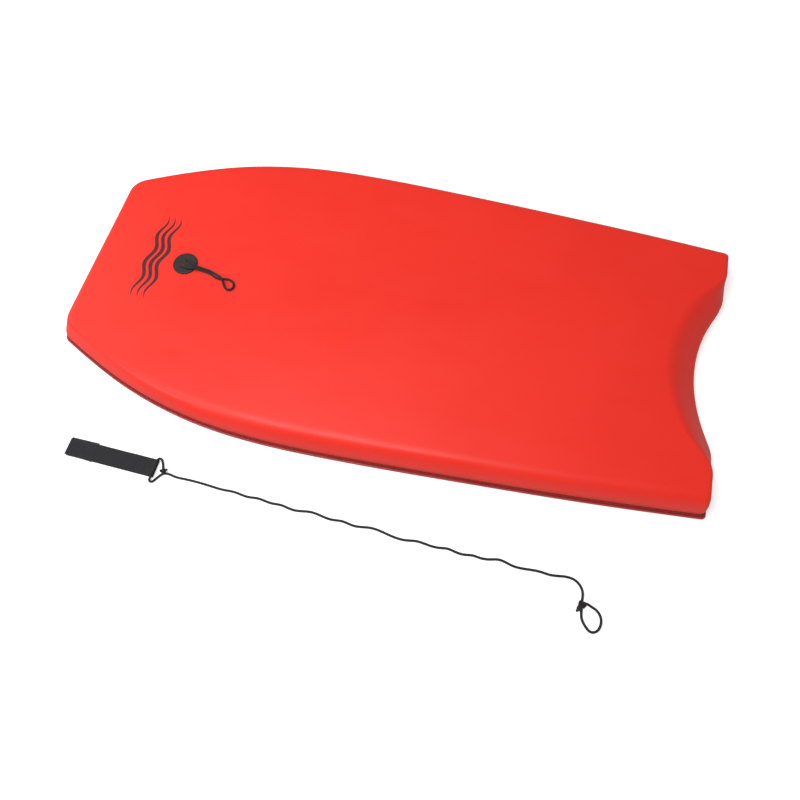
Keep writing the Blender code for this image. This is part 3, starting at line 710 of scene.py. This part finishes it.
LINE_ROUTE = [
    (-0.2650, -0.3372), (-0.2510, -0.3388), (-0.2368, -0.3390), (-0.2098, -0.3392),
    (-0.1895, -0.3404), (-0.1703, -0.3412), (-0.1558, -0.3406), (-0.1315, -0.3430),
    (-0.1172, -0.3418), (-0.0932, -0.3441), (-0.0818, -0.3434), (-0.0594, -0.3463),
    (-0.0331, -0.3433), (-0.0009, -0.3470), (0.0157, -0.3458), (0.0332, -0.3482),
    (0.0577, -0.3456), (0.0891, -0.3498), (0.1130, -0.3510), (0.1267, -0.3489),
    (0.1430, -0.3501), (0.1599, -0.3506), (0.1725, -0.3490), (0.1839, -0.3507),
    (0.1971, -0.3517), (0.2096, -0.3500), (0.2190, -0.3509), (0.2334, -0.3499),
    (0.2466, -0.3472), (0.2662, -0.3510), (0.2843, -0.3513), (0.3057, -0.3502),
    (0.3201, -0.3512), (0.3390, -0.3488), (0.3540, -0.3504), (0.3632, -0.3578),
    (0.3668, -0.3662), (0.3672, -0.3728),
]
END_LOOP_ROUTE = [
    (0.3738, -0.3783), (0.3800, -0.3803), (0.3869, -0.3831), (0.3924, -0.3880),
    (0.3955, -0.3947), (0.3957, -0.4014), (0.3934, -0.4083), (0.3886, -0.4127),
    (0.3830, -0.4132), (0.3774, -0.4094), (0.3725, -0.4038), (0.3693, -0.3975),
    (0.3684, -0.3920),
]
# Knots: the middle, the half sizes, the turn about z, and the tail end's points
STRAP_KNOT = (
    (-0.2710, -0.3353, 0.0040), (0.0048, 0.0050, 0.0039), 0.4,
    [(-0.2674, -0.3333, 0.0050), (-0.2652, -0.3306, 0.0046)],
)
END_KNOT = (
    (0.3668, -0.3822, 0.0041), (0.0062, 0.0090, 0.0040), -0.45,
    [(0.3640, -0.3862, 0.0048), (0.3614, -0.3920, 0.0030)],
)
INNER_KNOT = (
    (PLUG.x, PLUG.y, 0.0360), (0.0050, 0.0082, 0.0040), -0.28,
    [(PLUG.x, PLUG.y, 0.0320), (PLUG.x + 0.001, PLUG.y, 0.0270)],
)
LEG_ROUTE = [(0.0034, 0.0415), (0.0058, 0.0442), (0.0070, 0.0480), (0.0070, 0.0512)]


def in_strap(x, y, z):
    """A point of the strap's own frame, in the row frame."""
    c, s = math.cos(STRAP_TURN), math.sin(STRAP_TURN)
    return STRAP_PLACE.x + c * x - s * y, STRAP_PLACE.y + s * x + c * y, z


def make_leash(cord):
    """The bail, the line and the end loop are one cord, which two knots close into its loops."""
    strap_knot = tied_knot("strap_knot_tied", *STRAP_KNOT, cord)
    end_knot = tied_knot("end_knot_tied", *END_KNOT, cord)
    bail = [in_strap(*point) for point in [BAIL_INTO_KNOT, *BAIL_ROUTE[:-1], *BAIL_TO_LINE]]
    line = [(x, y, FLOOR_CORD_Z) for x, y in LINE_ROUTE]
    loop = [(x, y, FLOOR_CORD_Z) for x, y in reversed(END_LOOP_ROUTE)]
    x, y, _ = END_KNOT[0]
    into_end_knot = (x + 2.4 * MM, y + 2.6 * MM, FLOOR_CORD_Z)
    path = smooth_path([*bail, *line, *loop, into_end_knot], 1800)
    piece = braided_tube("leash_line", path, cord)
    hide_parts("bail_cord", "leash_cord", "end_loop_cord")
    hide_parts("strap_knot")
    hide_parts("end_knot")
    for part in (piece, strap_knot, end_knot):
        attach(part, "leash")


def make_plug_cord(cord):
    """The plug's cord: from its knot inside the plug up through one hole, round the eye and back."""
    def leg(side):
        return [tuple(side * spread * HOLE_LINE + PLUG + Vector((0.0, 0.0, z)))
                for spread, z in LEG_ROUTE]

    path = smooth_path([*leg(1), *LOOP_ROUTE, *leg(-1)[::-1]], 620)
    piece = braided_tube("plug_cord", path, cord)
    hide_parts("plug_loop_cord", "plug_loop_leg_a", "plug_loop_leg_b")
    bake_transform(piece)
    inner = tied_knot("plug_inner_knot", *INNER_KNOT, cord)
    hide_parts("plug_loop_knot")
    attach(inner, "root")


# ---------------- plug

PLUG_DISC_RADIUS = 0.0205
DISC_FLAT_RADIUS = 0.0100
DISC_DISHED_RADIUS = 0.0155
STEM_RADIUS = 0.0110
STEM_INNER = 0.0094
STEM_END = 0.0200
SOCKET_RADIUS = 0.0140
SOCKET_INNER = 0.0114
SOCKET_TOP = 0.0360
# The cord holes' radius at the disc's top, just below it and in the hole
HOLE_RADII = (0.0031, 0.0026, 0.0023)


def rounded_edge(radius, edge, height, drop, steps=5):
    """Profile points of a soft edge: from radius - edge at height, out to radius at height - drop."""
    turn = np.linspace(0.0, math.pi / 2, steps)
    return [(radius - edge + edge * math.sin(a), height - drop + drop * math.cos(a)) for a in turn]


def make_plug():
    plastic = plug_material()
    under = THICKNESS + CLEARANCE
    ceiling = DISC_TOP - 2.6 * MM
    profile = [
        (0.0, DISC_TOP), (DISC_FLAT_RADIUS, DISC_TOP), (DISC_DISHED_RADIUS, DISC_TOP - 0.05 * MM),
        *rounded_edge(PLUG_DISC_RADIUS, 2.0 * MM, DISC_TOP, 1.3 * MM),
        (PLUG_DISC_RADIUS, under), (STEM_RADIUS, under), (STEM_RADIUS, STEM_END + 0.6 * MM),
        (STEM_RADIUS - 0.6 * MM, STEM_END), (STEM_INNER, STEM_END), (STEM_INNER, ceiling),
        (0.0, ceiling),
    ]
    disc = turned("plug_disc", profile, PLUG, plastic)
    mouth, throat, shaft = HOLE_RADII
    above, below = 0.060, 0.045
    flare = [
        (0.0, above), (mouth, above), (mouth, DISC_TOP + 0.1 * MM), (throat, DISC_TOP - 0.3 * MM),
        (shaft, DISC_TOP - 1.1 * MM), (shaft, below), (0.0, below),
    ]
    for side in (1, -1):
        cut(disc, turned("cord_hole", flare, PLUG + side * HOLE_OFFSET * HOLE_LINE, None, 40))
    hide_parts("plug_top_disc")

    low, high = CLEARANCE, BOTTOM_SKIN - 0.1 * MM
    profile = [
        (0.0, high), (SOCKET_INNER, high), (SOCKET_INNER, SOCKET_TOP),
        (SOCKET_RADIUS - 0.5 * MM, SOCKET_TOP), (SOCKET_RADIUS, SOCKET_TOP - 0.5 * MM),
        (SOCKET_RADIUS, high), (PLUG_DISC_RADIUS, high),
        *[(r, low + high - z) for r, z in rounded_edge(PLUG_DISC_RADIUS, 0.7 * MM, high, 0.7 * MM)][::-1],
        (0.0, low),
    ]
    base = turned("plug_base", profile, PLUG, plastic)
    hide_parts("plug_bottom_disc")
    for piece in (disc, base):
        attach(piece, "root")


# ---------------- strap

STRAP_LENGTH = 0.1445
STRAP_WIDTH = 0.0275
WEBBING = 0.0014
FOLD_RADIUS = 0.0028
LOWER_END = -0.0020
STUB_END = -0.0136
TOP_Z = 2 * FOLD_RADIUS + WEBBING / 2
# The flap sags a little between its fold and the fastener
SLACK_START = 0.006
SLACK_LENGTH = 0.070
SLACK_DEPTH = 0.5 * MM
LOOP_LOW = WEBBING + CLEARANCE
HOOK_HIGH = 2 * FOLD_RADIUS - CLEARANCE
PATCH_BASE = 0.0007
PATCH_HEIGHT = 0.0016
HOOK_START = -0.0985
HOOK_CORNERS = [
    (-STRAP_LENGTH, -0.0134), (HOOK_START, -0.0152), (HOOK_START, 0.0158), (-STRAP_LENGTH, 0.0152),
]
LOOP_CORNERS = [(-0.1425, -0.0123), (-0.0725, -0.0121), (-0.0725, 0.0123), (-0.1425, 0.0122)]
FOLD_BOX = [(-0.0045, -0.0115), (-0.0120, -0.0115), (-0.0120, 0.0115), (-0.0045, 0.0115)]
WEBBING_STEP = 0.00055
SELVEDGE_WANDER = 0.25 * MM
STITCH_PITCH = 0.0030
STITCH_LENGTH = 0.0023
STITCH_RADIUS = 0.00024
STITCH_SIDES = 6
# A stitch's places along its length, and the share of its radius at each
STITCH_BODY = [(0.0, 0.15), (0.2, 0.8), (0.5, 1.0), (0.8, 0.8), (1.0, 0.15)]
HAIR_SIDES = 4


def ribbon(name, line, material, start=0.0):
    """Webbing along line, which holds x and z in the strap's frame, with woven faces and selvedges."""
    length = arc_lengths(line)[-1]
    rows = round(length / WEBBING_STEP)
    line = even_steps(line, rows + 1)
    travel = np.linspace(0.0, length, rows + 1) + start
    along = np.gradient(line, axis=0)
    along /= np.linalg.norm(along, axis=1)[:, None]
    up = np.column_stack([-along[:, 1], along[:, 0]])
    half, edge = STRAP_WIDTH / 2, WEBBING / 2
    across = np.linspace(-half + edge, half - edge, 4 * WARP_YARNS + 1)
    turn = np.linspace(0.0, math.pi, 7)[1:-1]
    side_y = half - edge + edge * np.sin(turn)
    y = np.concatenate([across, side_y, across[::-1], -side_y])
    lift = np.concatenate([np.ones(len(across)), np.cos(turn), -np.ones(len(across)), -np.cos(turn)])
    yarn = (y + half) / (STRAP_WIDTH / WARP_YARNS)
    odd = np.floor(yarn) % 2
    dive = np.abs(np.sin(math.pi * (travel[:, None] / RIB_PITCH + 0.5 * odd[None])))
    weave = np.abs(lift) * np.abs(np.sin(math.pi * yarn)) * dive
    wander = np.array([noise.noise((t * 60, 0.5, 3.1)) for t in travel]) * SELVEDGE_WANDER
    height = lift * edge - np.sign(lift) * WEAVE_DEPTH * (1 - weave)
    x = line[:, 0, None] + up[:, 0, None] * height
    z = line[:, 1, None] + up[:, 1, None] * height
    wide = y[None] * (1 + wander[:, None] / half)
    points = np.stack([x, wide, z], axis=2).reshape(-1, 3)
    points = [in_strap(*point) for point in points]
    around = len(y)
    faces = ring_faces(rows + 1, around)
    last = rows * around
    faces += [tuple(range(around))[::-1], tuple(range(last, last + around))]
    uv = np.stack(np.broadcast_arrays(travel[:, None], y[None] + half), axis=2).reshape(-1, 2)
    mesh = faced_out(mesh_from(name, points, faces))
    corners = np.empty(len(mesh.loops), int)
    mesh.loops.foreach_get("vertex_index", corners)
    mesh.uv_layers.new(name="UVMap").data.foreach_set("uv", uv[corners].ravel())
    return add_piece(name, mesh, material)


def threads(name, runs, material):
    """Thread stitches, one short spindle for each run from point to point in the strap's frame."""
    points, faces = [], []
    for first, last in runs:
        first, last = Vector(in_strap(*first)), Vector(in_strap(*last))
        along = (last - first).normalized()
        side = along.cross(Vector((0.0, 0.0, 1.0))).normalized()
        up = side.cross(along)
        spokes = [side * math.cos(a) + up * math.sin(a) for a in angles(STITCH_SIDES)]
        rings = [
            [first.lerp(last, share) + spoke * STITCH_RADIUS * swell for spoke in spokes]
            for share, swell in STITCH_BODY
        ]
        add_body(points, faces, rings, (0, len(rings) - 1))
    return add_piece(name, faced_out(mesh_from(name, points, faces)), material)


def stitched(corners, z):
    """Runs of stitches along the lines between corners."""
    runs = []
    for (x0, y0), (x1, y1) in zip(corners, corners[1:]):
        length = math.hypot(x1 - x0, y1 - y0)
        count = max(1, round(length / STITCH_PITCH))
        for i in range(count):
            low = (i + 0.5) / count - STITCH_LENGTH / length / 2
            high = (i + 0.5) / count + STITCH_LENGTH / length / 2
            runs.append(tuple((mix(x0, x1, t), mix(y0, y1, t), z) for t in (low, high)))
    return runs


def drawn_in(corners, inset):
    """A four-cornered shape moved inwards and closed."""
    middle = np.mean(corners, axis=0)
    moved = [tuple(c - np.sign(c - middle) * inset) for c in np.array(corners)]
    return [*moved, moved[0]]


def patch(name, corners, low, high, material, bristle):
    """A fastener patch: a thin woven base with rows of hooks or pile, which bristle describes."""
    rim = 0.2 * MM
    inner = drawn_in(corners, rim)[:4]
    levels = [(inner, low), (corners, low + rim), (corners, high - rim), (inner, high)]
    points = [in_strap(x, y, z) for shape, z in levels for x, y in shape]
    faces = ring_faces(4, 4) + [(0, 3, 2, 1), (12, 13, 14, 15)]
    base = add_piece(name, faced_out(mesh_from(name, points, faces, smooth=False)), material)
    return join([base, bristle], name)


def bristles(name, corners, pitch, curve, radius, material, scatter):
    """Many bent hairs standing on a patch. curve holds along, across and up for each of their steps."""
    rng = random.Random(7)
    (x0, y0), (x1, _), (_, y1), _ = drawn_in(corners, 0.8 * MM)[:4]
    points, faces = [], []
    spokes = [(radius * math.cos(a), radius * math.sin(a)) for a in angles(HAIR_SIDES)]
    for i in range(int((x1 - x0) / pitch)):
        for j in range(int((y1 - y0) / pitch)):
            x = x0 + (i + 0.5) * pitch + rng.uniform(-scatter, scatter) * pitch
            y = y0 + (j + 0.5 * (1 + i % 2) / 1.5) * pitch + rng.uniform(-scatter, scatter) * pitch
            turn = rng.uniform(-math.pi, math.pi) if scatter > 0.2 else rng.choice((0.0, math.pi))
            c, s = math.cos(turn), math.sin(turn)
            rings = []
            for along, across, up in curve:
                px, py = x + c * along - s * across, y + s * along + c * across
                rings.append([in_strap(px + dx, py + dy, up) for dx, dy in spokes])
            add_body(points, faces, rings, (len(rings) - 1,))
    return add_piece(name, mesh_from(name, points, faces), material)


def make_strap():
    webbing, thread = webbing_material(), thread_material()
    fold = np.linspace(-math.pi / 2, math.pi / 2, 25)
    fold_z = FOLD_RADIUS + WEBBING / 2
    round_fold = [(FOLD_RADIUS * math.cos(a), fold_z + FOLD_RADIUS * math.sin(a)) for a in fold]
    low = [(x, WEBBING / 2) for x in np.linspace(-STRAP_LENGTH, LOWER_END, 40)]
    line = np.array([*low, *round_fold, (STUB_END, TOP_Z)])
    band = ribbon("strap_band", line, webbing)
    x = np.linspace(STUB_END, -STRAP_LENGTH, 60)
    slack = np.sin(np.pi * np.clip((STUB_END - x - SLACK_START) / SLACK_LENGTH, 0.0, 1.0)) ** 2
    flap_line = np.column_stack([x, TOP_Z - SLACK_DEPTH * slack])
    flap = ribbon("strap_flap_band", flap_line, webbing, start=arc_lengths(line)[-1])
    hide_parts("strap_webbing")
    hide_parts("strap_flap")
    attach(band, "leash")
    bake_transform(flap)

    hook = tape_material("hook_tape", HOOK_BLACK, HOOK_GREY, 0.60)
    tip, base = HOOK_HIGH - PATCH_HEIGHT, HOOK_HIGH - PATCH_BASE + 0.1 * MM
    bend = [(0, 0, base), (0, 0, mix(base, tip, 0.6)), (0.12 * MM, 0, tip + 0.05 * MM),
            (0.38 * MM, 0, tip), (0.55 * MM, 0, mix(base, tip, 0.7))]
    hooks = bristles("hooks", HOOK_CORNERS, 1.35 * MM, bend, 0.10 * MM, hook, 0.06)
    hook_patch = patch("hook_tape_patch", HOOK_CORNERS, HOOK_HIGH - PATCH_BASE, HOOK_HIGH, hook, hooks)
    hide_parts("strap_hook_patch")
    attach(hook_patch, "flap")

    pile = tape_material("loop_pile", LOOP_BLACK, LOOP_GREY, 0.85)
    base, top = LOOP_LOW + PATCH_BASE - 0.1 * MM, LOOP_LOW + PATCH_HEIGHT
    arc = [(0, 0, base), (0.1 * MM, 0.1 * MM, mix(base, top, 0.7)), (0.45 * MM, 0.15 * MM, top),
           (0.8 * MM, 0, mix(base, top, 0.6)), (0.9 * MM, 0, base)]
    loops = bristles("pile", LOOP_CORNERS, 1.0 * MM, arc, 0.08 * MM, pile, 0.45)
    loop_patch = patch("loop_pile_patch", LOOP_CORNERS, LOOP_LOW, LOOP_LOW + PATCH_BASE, pile, loops)
    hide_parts("strap_loop_patch")
    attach(loop_patch, "leash")

    face, low_face = TOP_Z + WEBBING / 2, 0.1 * MM
    box = [*FOLD_BOX, FOLD_BOX[0]]
    fold_runs = stitched([*box, FOLD_BOX[2]], face) + stitched(box, low_face)
    fold_stitches = threads("fold_stitches", fold_runs, thread)
    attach(fold_stitches, "leash")
    half = STRAP_WIDTH / 2
    edge = [(-STRAP_LENGTH, -half), (HOOK_START, -half), (HOOK_START, half), (-STRAP_LENGTH, half)]
    flap_stitches = threads("flap_stitches", stitched(drawn_in(edge, 1.8 * MM), face), thread)
    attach(flap_stitches, "flap")
    loop_seam = stitched(drawn_in(LOOP_CORNERS, 1.0 * MM), LOOP_LOW + PATCH_BASE)
    loop_stitches = threads("loop_stitches", loop_seam, thread)
    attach(loop_stitches, "leash")


# ---------------- board


def tail_edge(y):
    inside = 1 - (y / CRESCENT_HALF_WIDTH) ** 2
    depth = 0.5 * (inside + math.hypot(inside, CRESCENT_SOFTNESS))
    return LENGTH / 2 - CRESCENT_DEPTH * depth


def ridge_inset(y):
    ridge = RIDGE_X + RIDGE_SWEEP * (y / RIDGE_HALF_WIDTH) ** 2
    return max(tail_edge(y) - ridge, 0.0)


def deck_section(y=None, at_nose=False):
    """The deck skin's section in DECK_STEPS smooth steps: the rail's, the nose's or the tail's at y."""
    if y is None:
        section = list(zip(NOSE_INSETS if at_nose else RAIL_INSETS, DECK_HEIGHTS))
    else:
        share = 1 - ease(BEVEL_FULL, BEVEL_END, abs(y))
        inset = ridge_inset(y)
        section = [
            (mix(tip, fixed + part * inset, share), mix(tip_z, bevel_z, share))
            for tip, tip_z, (fixed, part, bevel_z) in zip(TAIL_INSETS, DECK_HEIGHTS, BEVEL_SECTION)
        ]
    return stepped(section, DECK_STEPS)


def bottom_section(y=None, at_nose=False):
    return stepped(BOTTOM_SECTION, BOTTOM_STEPS)


def seam_section(y=None, at_nose=False):
    """The seam band's section: a sloping, slightly hollow weld, with its foot in the groove below."""
    low, high = SEAM_BOTTOM - 0.15 * MM, SEAM_TOP - 0.1 * MM
    tilt = SEAM_SLOPE / (SEAM_TOP - SEAM_BOTTOM)
    face = [(SEAM_OUTER + share * SEAM_SLOPE, mix(low, high, share)) for share in (0.1, 0.5, 0.9)]
    hollow = (face[1][0] + 0.35 * MM, face[1][1])
    return np.array([
        (SEAM_INNER, low), *WELD_FOOT, (SEAM_OUTER + 0.2 * MM, low), face[0], hollow, face[2],
        (SEAM_OUTER + SEAM_SLOPE + tilt * MM, high), (SEAM_INNER, high),
    ])


def stepped(section, steps):
    """The section as a smooth line, with as many steps between any two of its corners."""
    corners = np.arange(len(section))
    return smooth_path(np.column_stack([section, corners]), steps)[:, :2]


def rail_line():
    """The widest line of one rail, from nose to tail, with its inward normals."""
    stations = [(0.0, NOSE_HALF_WIDTH), *RAIL_STATIONS, (1.0, TAIL_HALF_WIDTH)]
    line = smooth_path([((share - 0.5) * LENGTH, half) for share, half in stations], 400)
    along = np.gradient(line, axis=0)
    along /= np.linalg.norm(along, axis=1)[:, None]
    return line, np.column_stack([along[:, 1], -along[:, 0]])


def cut_back(line, distance):
    lengths = arc_lengths(line)
    start = [np.interp(distance, lengths, line[:, 0]), np.interp(distance, lengths, line[:, 1])]
    return np.vstack([start, line[lengths > distance + 1e-7]])


def rounded_corner(start, corner, end):
    points = []
    for i in range(1, CORNER_POINTS):
        t = i / CORNER_POINTS
        first = mix(start, corner, CORNER_PULL)
        second = mix(end, corner, CORNER_PULL)
        inner = 3 * first * t * (1 - t) ** 2 + 3 * second * t * t * (1 - t)
        points.append(start * (1 - t) ** 3 + inner + end * t**3)
    return np.array(points)


def half_rings(section_at):
    """Half rings from the nose's middle to the tail's middle, one for each step of the section."""
    line, inward = rail_line()
    share = np.array([ease(NOSE_SECTION_END, RAIL_SECTION_START, x) for x in line[:, 0]])
    plain = section_at()
    at_nose = section_at(at_nose=True)
    tail_y = np.linspace(TAIL_HALF_WIDTH + 0.01, 0.0, 240)
    tail_sections = np.array([section_at(y) for y in tail_y])
    edge = np.array([tail_edge(y) for y in tail_y])
    rings = []
    for index, (inset, height) in enumerate(plain):
        moved = line + mix(at_nose[index][0], inset, share)[:, None] * inward
        nose_x = -LENGTH / 2 + at_nose[index][0]
        tail = np.column_stack([edge - tail_sections[:, index, 0], tail_y])
        behind = np.interp(moved[:, 1], tail[::-1, 1], tail[::-1, 0])
        rail = moved[(moved[:, 0] > nose_x) & (moved[:, 0] < behind)]
        nose_corner = np.array([nose_x, np.interp(nose_x, moved[:, 0], moved[:, 1])])
        corner_y = rail[-1, 1]
        tail_corner = np.array([np.interp(corner_y, tail[::-1, 1], tail[::-1, 0]), corner_y])
        nose_cut = NOSE_CORNER + CORNER_GROWTH * at_nose[index][0]
        nose = cut_back(np.linspace(nose_corner, (nose_x, 0.0), 40), nose_cut)[::-1]
        rail = cut_back(np.vstack([nose_corner, rail, tail_corner]), nose_cut)
        rail = cut_back(rail[::-1], TAIL_CORNER)[::-1]
        tail = cut_back(np.vstack([tail_corner, tail[tail[:, 1] < corner_y]]), TAIL_CORNER)
        flat = np.vstack([
            even_steps(nose, EDGE_POINTS),
            rounded_corner(nose[-1], nose_corner, rail[0]),
            even_steps(rail, RAIL_POINTS),
            rounded_corner(rail[-1], tail_corner, tail[0]),
            even_steps(tail, EDGE_POINTS),
        ])
        flat[0, 1] = flat[-1, 1] = 0.0
        heights = np.full(len(flat), height)
        at_tail = slice(len(flat) - EDGE_POINTS, None)
        heights[at_tail] = np.interp(flat[at_tail, 1], tail_y[::-1], tail_sections[::-1, index, 1])
        rings.append(np.column_stack([flat, heights]))
    return rings


def full_ring(half):
    """The half ring and its mirror image, as one closed ring."""
    return np.vstack([half, half[-2:0:-1] * (1, -1, 1)])


def filled(half):
    """A grid of points across the inside of a ring, with its outline as the grid's edge."""
    first = EDGE_POINTS + CORNER_POINTS // 2 - 1
    last = len(half) - EDGE_POINTS - CORNER_POINTS // 2
    flip = (1, -1, 1)
    nose = np.vstack([half[first:0:-1], half[: first + 1] * flip])
    tail = np.vstack([half[last:], half[-2 : last - 1 : -1] * flip])
    near, far = half[first : last + 1], half[first : last + 1] * flip
    u = np.linspace(0.0, 1.0, len(near))[:, None, None]
    v = np.linspace(0.0, 1.0, len(nose))[None, :, None]
    between_ends = (1 - u) * nose[None] + u * tail[None]
    between_rails = (1 - v) * near[:, None] + v * far[:, None]
    corners = (1 - u) * ((1 - v) * nose[0] + v * nose[-1]) + u * ((1 - v) * tail[0] + v * tail[-1])
    return between_ends + between_rails - corners


def skin_mesh(name, rings, cap_half):
    """The rings joined into a wall, and the last one filled with a grid."""
    around = len(full_ring(rings[0]))
    points = [full_ring(ring) for ring in rings]
    faces = ring_faces(len(rings), around)
    grid = filled(cap_half)
    rows, columns = grid.shape[:2]
    start = len(rings) * around
    for i in range(rows - 1):
        for j in range(columns - 1):
            corner = start + i * columns + j
            faces.append((corner, corner + 1, corner + columns + 1, corner + columns))
    mesh = mesh_from(name, np.vstack([*points, grid.reshape(-1, 3)]), faces)
    with edited(mesh) as bm:
        bmesh.ops.remove_doubles(bm, verts=bm.verts, dist=1e-6)
        bmesh.ops.recalc_face_normals(bm, faces=bm.faces)
        top = max(bm.faces, key=lambda face: face.calc_area() * abs(face.normal.z))
        outward = 1.0 if rings[-1][0, 2] > SEAM_TOP else -1.0
        if top.normal.z * outward < 0:
            bmesh.ops.reverse_faces(bm, faces=bm.faces)
    return mesh


def uneven(mesh, size, swell):
    """Moves the surface in and out a little, as foam that was heat-laminated by hand."""
    with edited(mesh) as bm:
        bm.normal_update()
        moves = [vert.normal * swell * noise.noise(vert.co * size) for vert in bm.verts]
        for vert, move in zip(bm.verts, moves):
            vert.co += move


def finish_skin(mesh, thickness, material):
    """The skin as a piece, with its thickness inwards."""
    piece = add_piece(mesh.name, mesh, material)
    solidify = piece.modifiers.new("skin", "SOLIDIFY")
    solidify.thickness = thickness
    solidify.offset = -1.0
    solidify.use_even_offset = True
    apply_modifiers(piece)
    return piece


def bore(piece, radius, top, bottom):
    """Cuts the plug's round hole through a skin."""
    profile = [(0.0, top), (radius, top), (radius, bottom), (0.0, bottom)]
    cut(piece, turned("bore", profile, PLUG, None))


def make_board():
    rings = half_rings(deck_section)
    mesh = skin_mesh("deck_foam_skin", rings, rings[-1])
    uneven(mesh, 9.0, 0.30 * MM)
    uneven(mesh, 42.0, 0.07 * MM)
    deck = finish_skin(mesh, DECK_SKIN, deck_material())
    bore(deck, STEM_RADIUS + CLEARANCE, 0.06, 0.04)
    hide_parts("deck_skin")
    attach(deck, "root")

    rings = half_rings(bottom_section)[::-1]
    bottom = finish_skin(skin_mesh("slick_bottom", rings, rings[-1]), BOTTOM_SKIN, slick_material())
    bore(bottom, PLUG_DISC_RADIUS + CLEARANCE, 0.01, -0.01)
    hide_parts("bottom_skin")
    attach(bottom, "root")

    rings = [full_ring(ring) for ring in half_rings(seam_section)]
    faces = ring_faces(len(rings), len(rings[0]), closed=True)
    mesh = faced_out(mesh_from("rail_seam", np.vstack(rings), faces))
    uneven(mesh, 60.0, 0.12 * MM)
    seam = add_piece("rail_seam", mesh, seam_material())
    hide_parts("rail_seam_band")
    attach(seam, "root")

    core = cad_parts["foam_core"]
    core.data.materials.clear()
    core.data.materials.append(bead_foam_material())


# ---------------- main

make_camera()
make_studio()
cord = cord_material()
make_leash(cord)
make_plug_cord(cord)
make_plug()
make_strap()
make_board()
